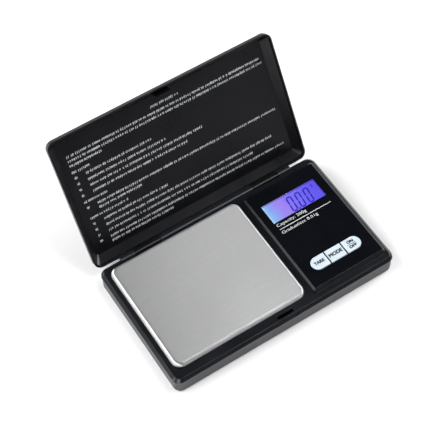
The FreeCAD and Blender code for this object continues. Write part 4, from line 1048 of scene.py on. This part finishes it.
class SCALE_OT_inside(bpy.types.Operator):
    """Load cell, circuit board, cells and contacts"""
    bl_idname = "gram_scale.inside"
    bl_label = "Inside"

    def execute(self, context):
        chip = plain_stuff("chip_epoxy", (0.016, 0.016, 0.017), 0.6, 2400.0)
        nickel = plated("contact_nickel", (0.66, 0.64, 0.58), 0.22)
        coat_nodes(
            load_cell=brushed("cell_alloy", (0.68, 0.69, 0.71), 0.3, 0.42, UP, 2600.0),
            strain_gauges=plain_stuff("gauge_foil", (0.62, 0.3, 0.06), 0.3, 2500.0),
            load_cell_wires=plain_stuff("lead_sleeve", (0.45, 0.03, 0.025), 0.45),
            circuit_board=plain_stuff("solder_resist", (0.012, 0.11, 0.04), 0.28, 500.0),
            controller_chip=chip, converter_chip=chip,
            quartz_crystal=plated("crystal_can", (0.7, 0.7, 0.69), 0.22),
            board_components=plain_stuff("ceramic_parts", (0.4, 0.3, 0.19), 0.55, 1500.0),
            key_switches=plated("switch_cover", (0.62, 0.62, 0.62), 0.3),
            cell_springs=nickel, cell_side_contacts=nickel)
        skin_of("coin_cells", "coin_cell_pair",
                plated("coin_nickel", (0.66, 0.66, 0.67), 0.24), 35.0)
        low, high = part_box("coin_cells")
        middle = (low + high) / 2
        marks = []
        for side in (-1, 1):
            x, y = middle.x, middle.y + side * 11 * MM
            for wide, tall in ((2.6, 0.7), (0.7, 2.6)):
                marks.append([Vector((x + a * wide * MM / 2, y + b * tall * MM / 2, low.z))
                              for a, b in ((-1, -1), (1, -1), (1, 1), (-1, 1))])
        printed("coin_marks", marks, 0.05 * MM, ink("mark_ink", (0.08, 0.08, 0.085)), "base",
                DOWN)
        return {"FINISHED"}


# Softboxes round the piece: the way to each, its width in metres and its power in watts.
# None stands up and to the back right, which is what the console and the deck mirror
# towards the camera.
SOFTBOXES = (
    ("upper_left_softbox", (-0.60, 0.10, 0.80), 0.70, 6.0),
    ("front_left_softbox", (-0.60, -0.60, 0.50), 0.60, 6.0),
    ("overhead_strip", (0.28, -0.20, 0.94), 0.35, 4.5),
    ("overhead_strip_right", (0.42, -0.20, 0.88), 0.35, 0.5),
    ("right_softbox", (0.85, 0.00, 0.50), 0.60, 13.0),
    ("back_left_softbox", (-0.50, 0.70, 0.50), 0.60, 12.0),
    ("low_left_softbox", (-0.95, 0.10, 0.25), 0.40, 4.0),
    ("front_strip", (0.10, -0.80, 0.60), 0.35, 0.2),
    ("front_kicker", (0.42, -0.88, 0.22), 0.40, 0.24),
)
LIT_POINT = Vector((0.0, 0.0, 0.01))
LAMP_DISTANCE = 1.3
FLOOR_HALF = 4.0

# Colours of the room at the horizon and a little above it, with the heights where they
# start and end.
HORIZON = (0.02, (0.20, 0.21, 0.25, 1.0))
OVERHEAD = (0.16, (0.015, 0.015, 0.017, 1.0))

# Where the camera stands, in millimetres from the middle of the base, and its own right,
# up and backward ways.
CAMERA_PLACE = (-181.500, -279.059, 568.576)
CAMERA_WAYS = ((0.84212, -0.53876, -0.02377), (0.46300, 0.69969, 0.54411),
               (-0.27652, -0.46921, 0.83868))
FOCAL_LENGTH = 110.05


def pale_floor(colour):
    """Painted table top with the faintest unevenness."""
    shape = bmesh.new()
    bmesh.ops.create_grid(shape, x_segments=2, y_segments=2, size=FLOOR_HALF)
    mesh = bpy.data.meshes.new("floor")
    shape.to_mesh(mesh)
    shape.free()
    floor = show("floor", mesh)
    finish = Finish("floor_paint", colour, 0.7)
    finish.put("Base Color", finish.shade(finish.fit(finish.grain(6.0, 3.0), 0.0, 1.0),
                                          shaded(colour, 0.995), colour))
    finish.relief((finish.grain(420.0, 3.0), 0.08, 0.0001))
    floor.data.materials.append(finish.material)


def softbox(name, way, size, power):
    """A square soft light that faces the piece and isn't seen itself."""
    way = Vector(way).normalized()
    lamp = bpy.data.lights.new(name, "AREA")
    lamp.shape = "SQUARE"
    lamp.size = size
    lamp.energy = power
    holder = show(name, lamp)
    holder.location = LIT_POINT + way * LAMP_DISTANCE
    holder.rotation_euler = way.to_track_quat("Z", "Y").to_euler()
    holder.visible_camera = False


def studio_room():
    """Dim room: a little light at the horizon and hardly any above."""
    world = bpy.data.worlds.new("studio")
    world.use_nodes = True
    tree = world.node_tree
    tree.nodes.clear()
    out, back, ramp, split, coords = (
        tree.nodes.new("ShaderNode" + kind)
        for kind in ("OutputWorld", "Background", "ValToRGB", "SeparateXYZ", "TexCoord"))
    for source, target in ((coords.outputs["Generated"], split.inputs[0]),
                           (split.outputs["Z"], ramp.inputs["Fac"]),
                           (ramp.outputs["Color"], back.inputs["Color"]),
                           (back.outputs["Background"], out.inputs["Surface"])):
        tree.links.new(source, target)
    for element, (height, colour) in zip(ramp.color_ramp.elements, (HORIZON, OVERHEAD)):
        element.position, element.color = height, colour
    back.inputs["Strength"].default_value = 1.0
    bpy.context.scene.world = world


def studio_camera():
    """Camera above the front left corner of the piece."""
    lens = bpy.data.cameras.new("camera")
    lens.sensor_width = 36.0
    lens.lens = FOCAL_LENGTH
    lens.clip_start, lens.clip_end = 0.01, 20.0
    camera = show("camera", lens)
    camera.rotation_euler = Matrix(CAMERA_WAYS).transposed().to_euler()
    camera.location = spot(*CAMERA_PLACE)
    bpy.context.scene.camera = camera


class SCALE_OT_stage(bpy.types.Operator):
    """Pale floor, soft lights and the camera"""
    bl_idname = "gram_scale.stage"
    bl_label = "Stage"

    def execute(self, context):
        pale_floor(tuple(settings()[1].floor))
        for box in SOFTBOXES:
            softbox(*box)
        studio_room()
        studio_camera()
        context.scene.view_settings.view_transform = "Standard"
        return {"FINISHED"}


class SCALE_PT_panel(bpy.types.Panel):
    """Lists the pieces in the 3D view's sidebar"""
    bl_idname = "SCALE_PT_panel"
    bl_label = "Gram scale"
    bl_space_type = "VIEW_3D"
    bl_region_type = "UI"
    bl_category = "Gram scale"

    def draw(self, context):
        column = self.layout.column(align=True)
        for step in STEPS:
            column.operator(step.bl_idname)
        for group in (context.scene.scale_sizes, context.scene.scale_colours):
            box = self.layout.box()
            for name in group.__annotations__:
                box.prop(group, name)


STEPS = (SCALE_OT_case, SCALE_OT_cover, SCALE_OT_lid, SCALE_OT_lid_print, SCALE_OT_platform,
         SCALE_OT_display, SCALE_OT_console_print, SCALE_OT_keys, SCALE_OT_fasteners,
         SCALE_OT_inside, SCALE_OT_stage)
CLASSES = (ScaleColours, ScaleSizes) + STEPS + (SCALE_PT_panel,)


def register():
    for item in CLASSES:
        bpy.utils.register_class(item)
    bpy.types.Scene.scale_sizes = PointerProperty(type=ScaleSizes)
    bpy.types.Scene.scale_colours = PointerProperty(type=ScaleColours)


def unregister():
    del bpy.types.Scene.scale_colours
    del bpy.types.Scene.scale_sizes
    for item in reversed(CLASSES):
        bpy.utils.unregister_class(item)


def main():
    register()
    for step in STEPS:
        group, name = step.bl_idname.split(".")
        getattr(getattr(bpy.ops, group), name)()


if __name__ == "__main__":
    main()
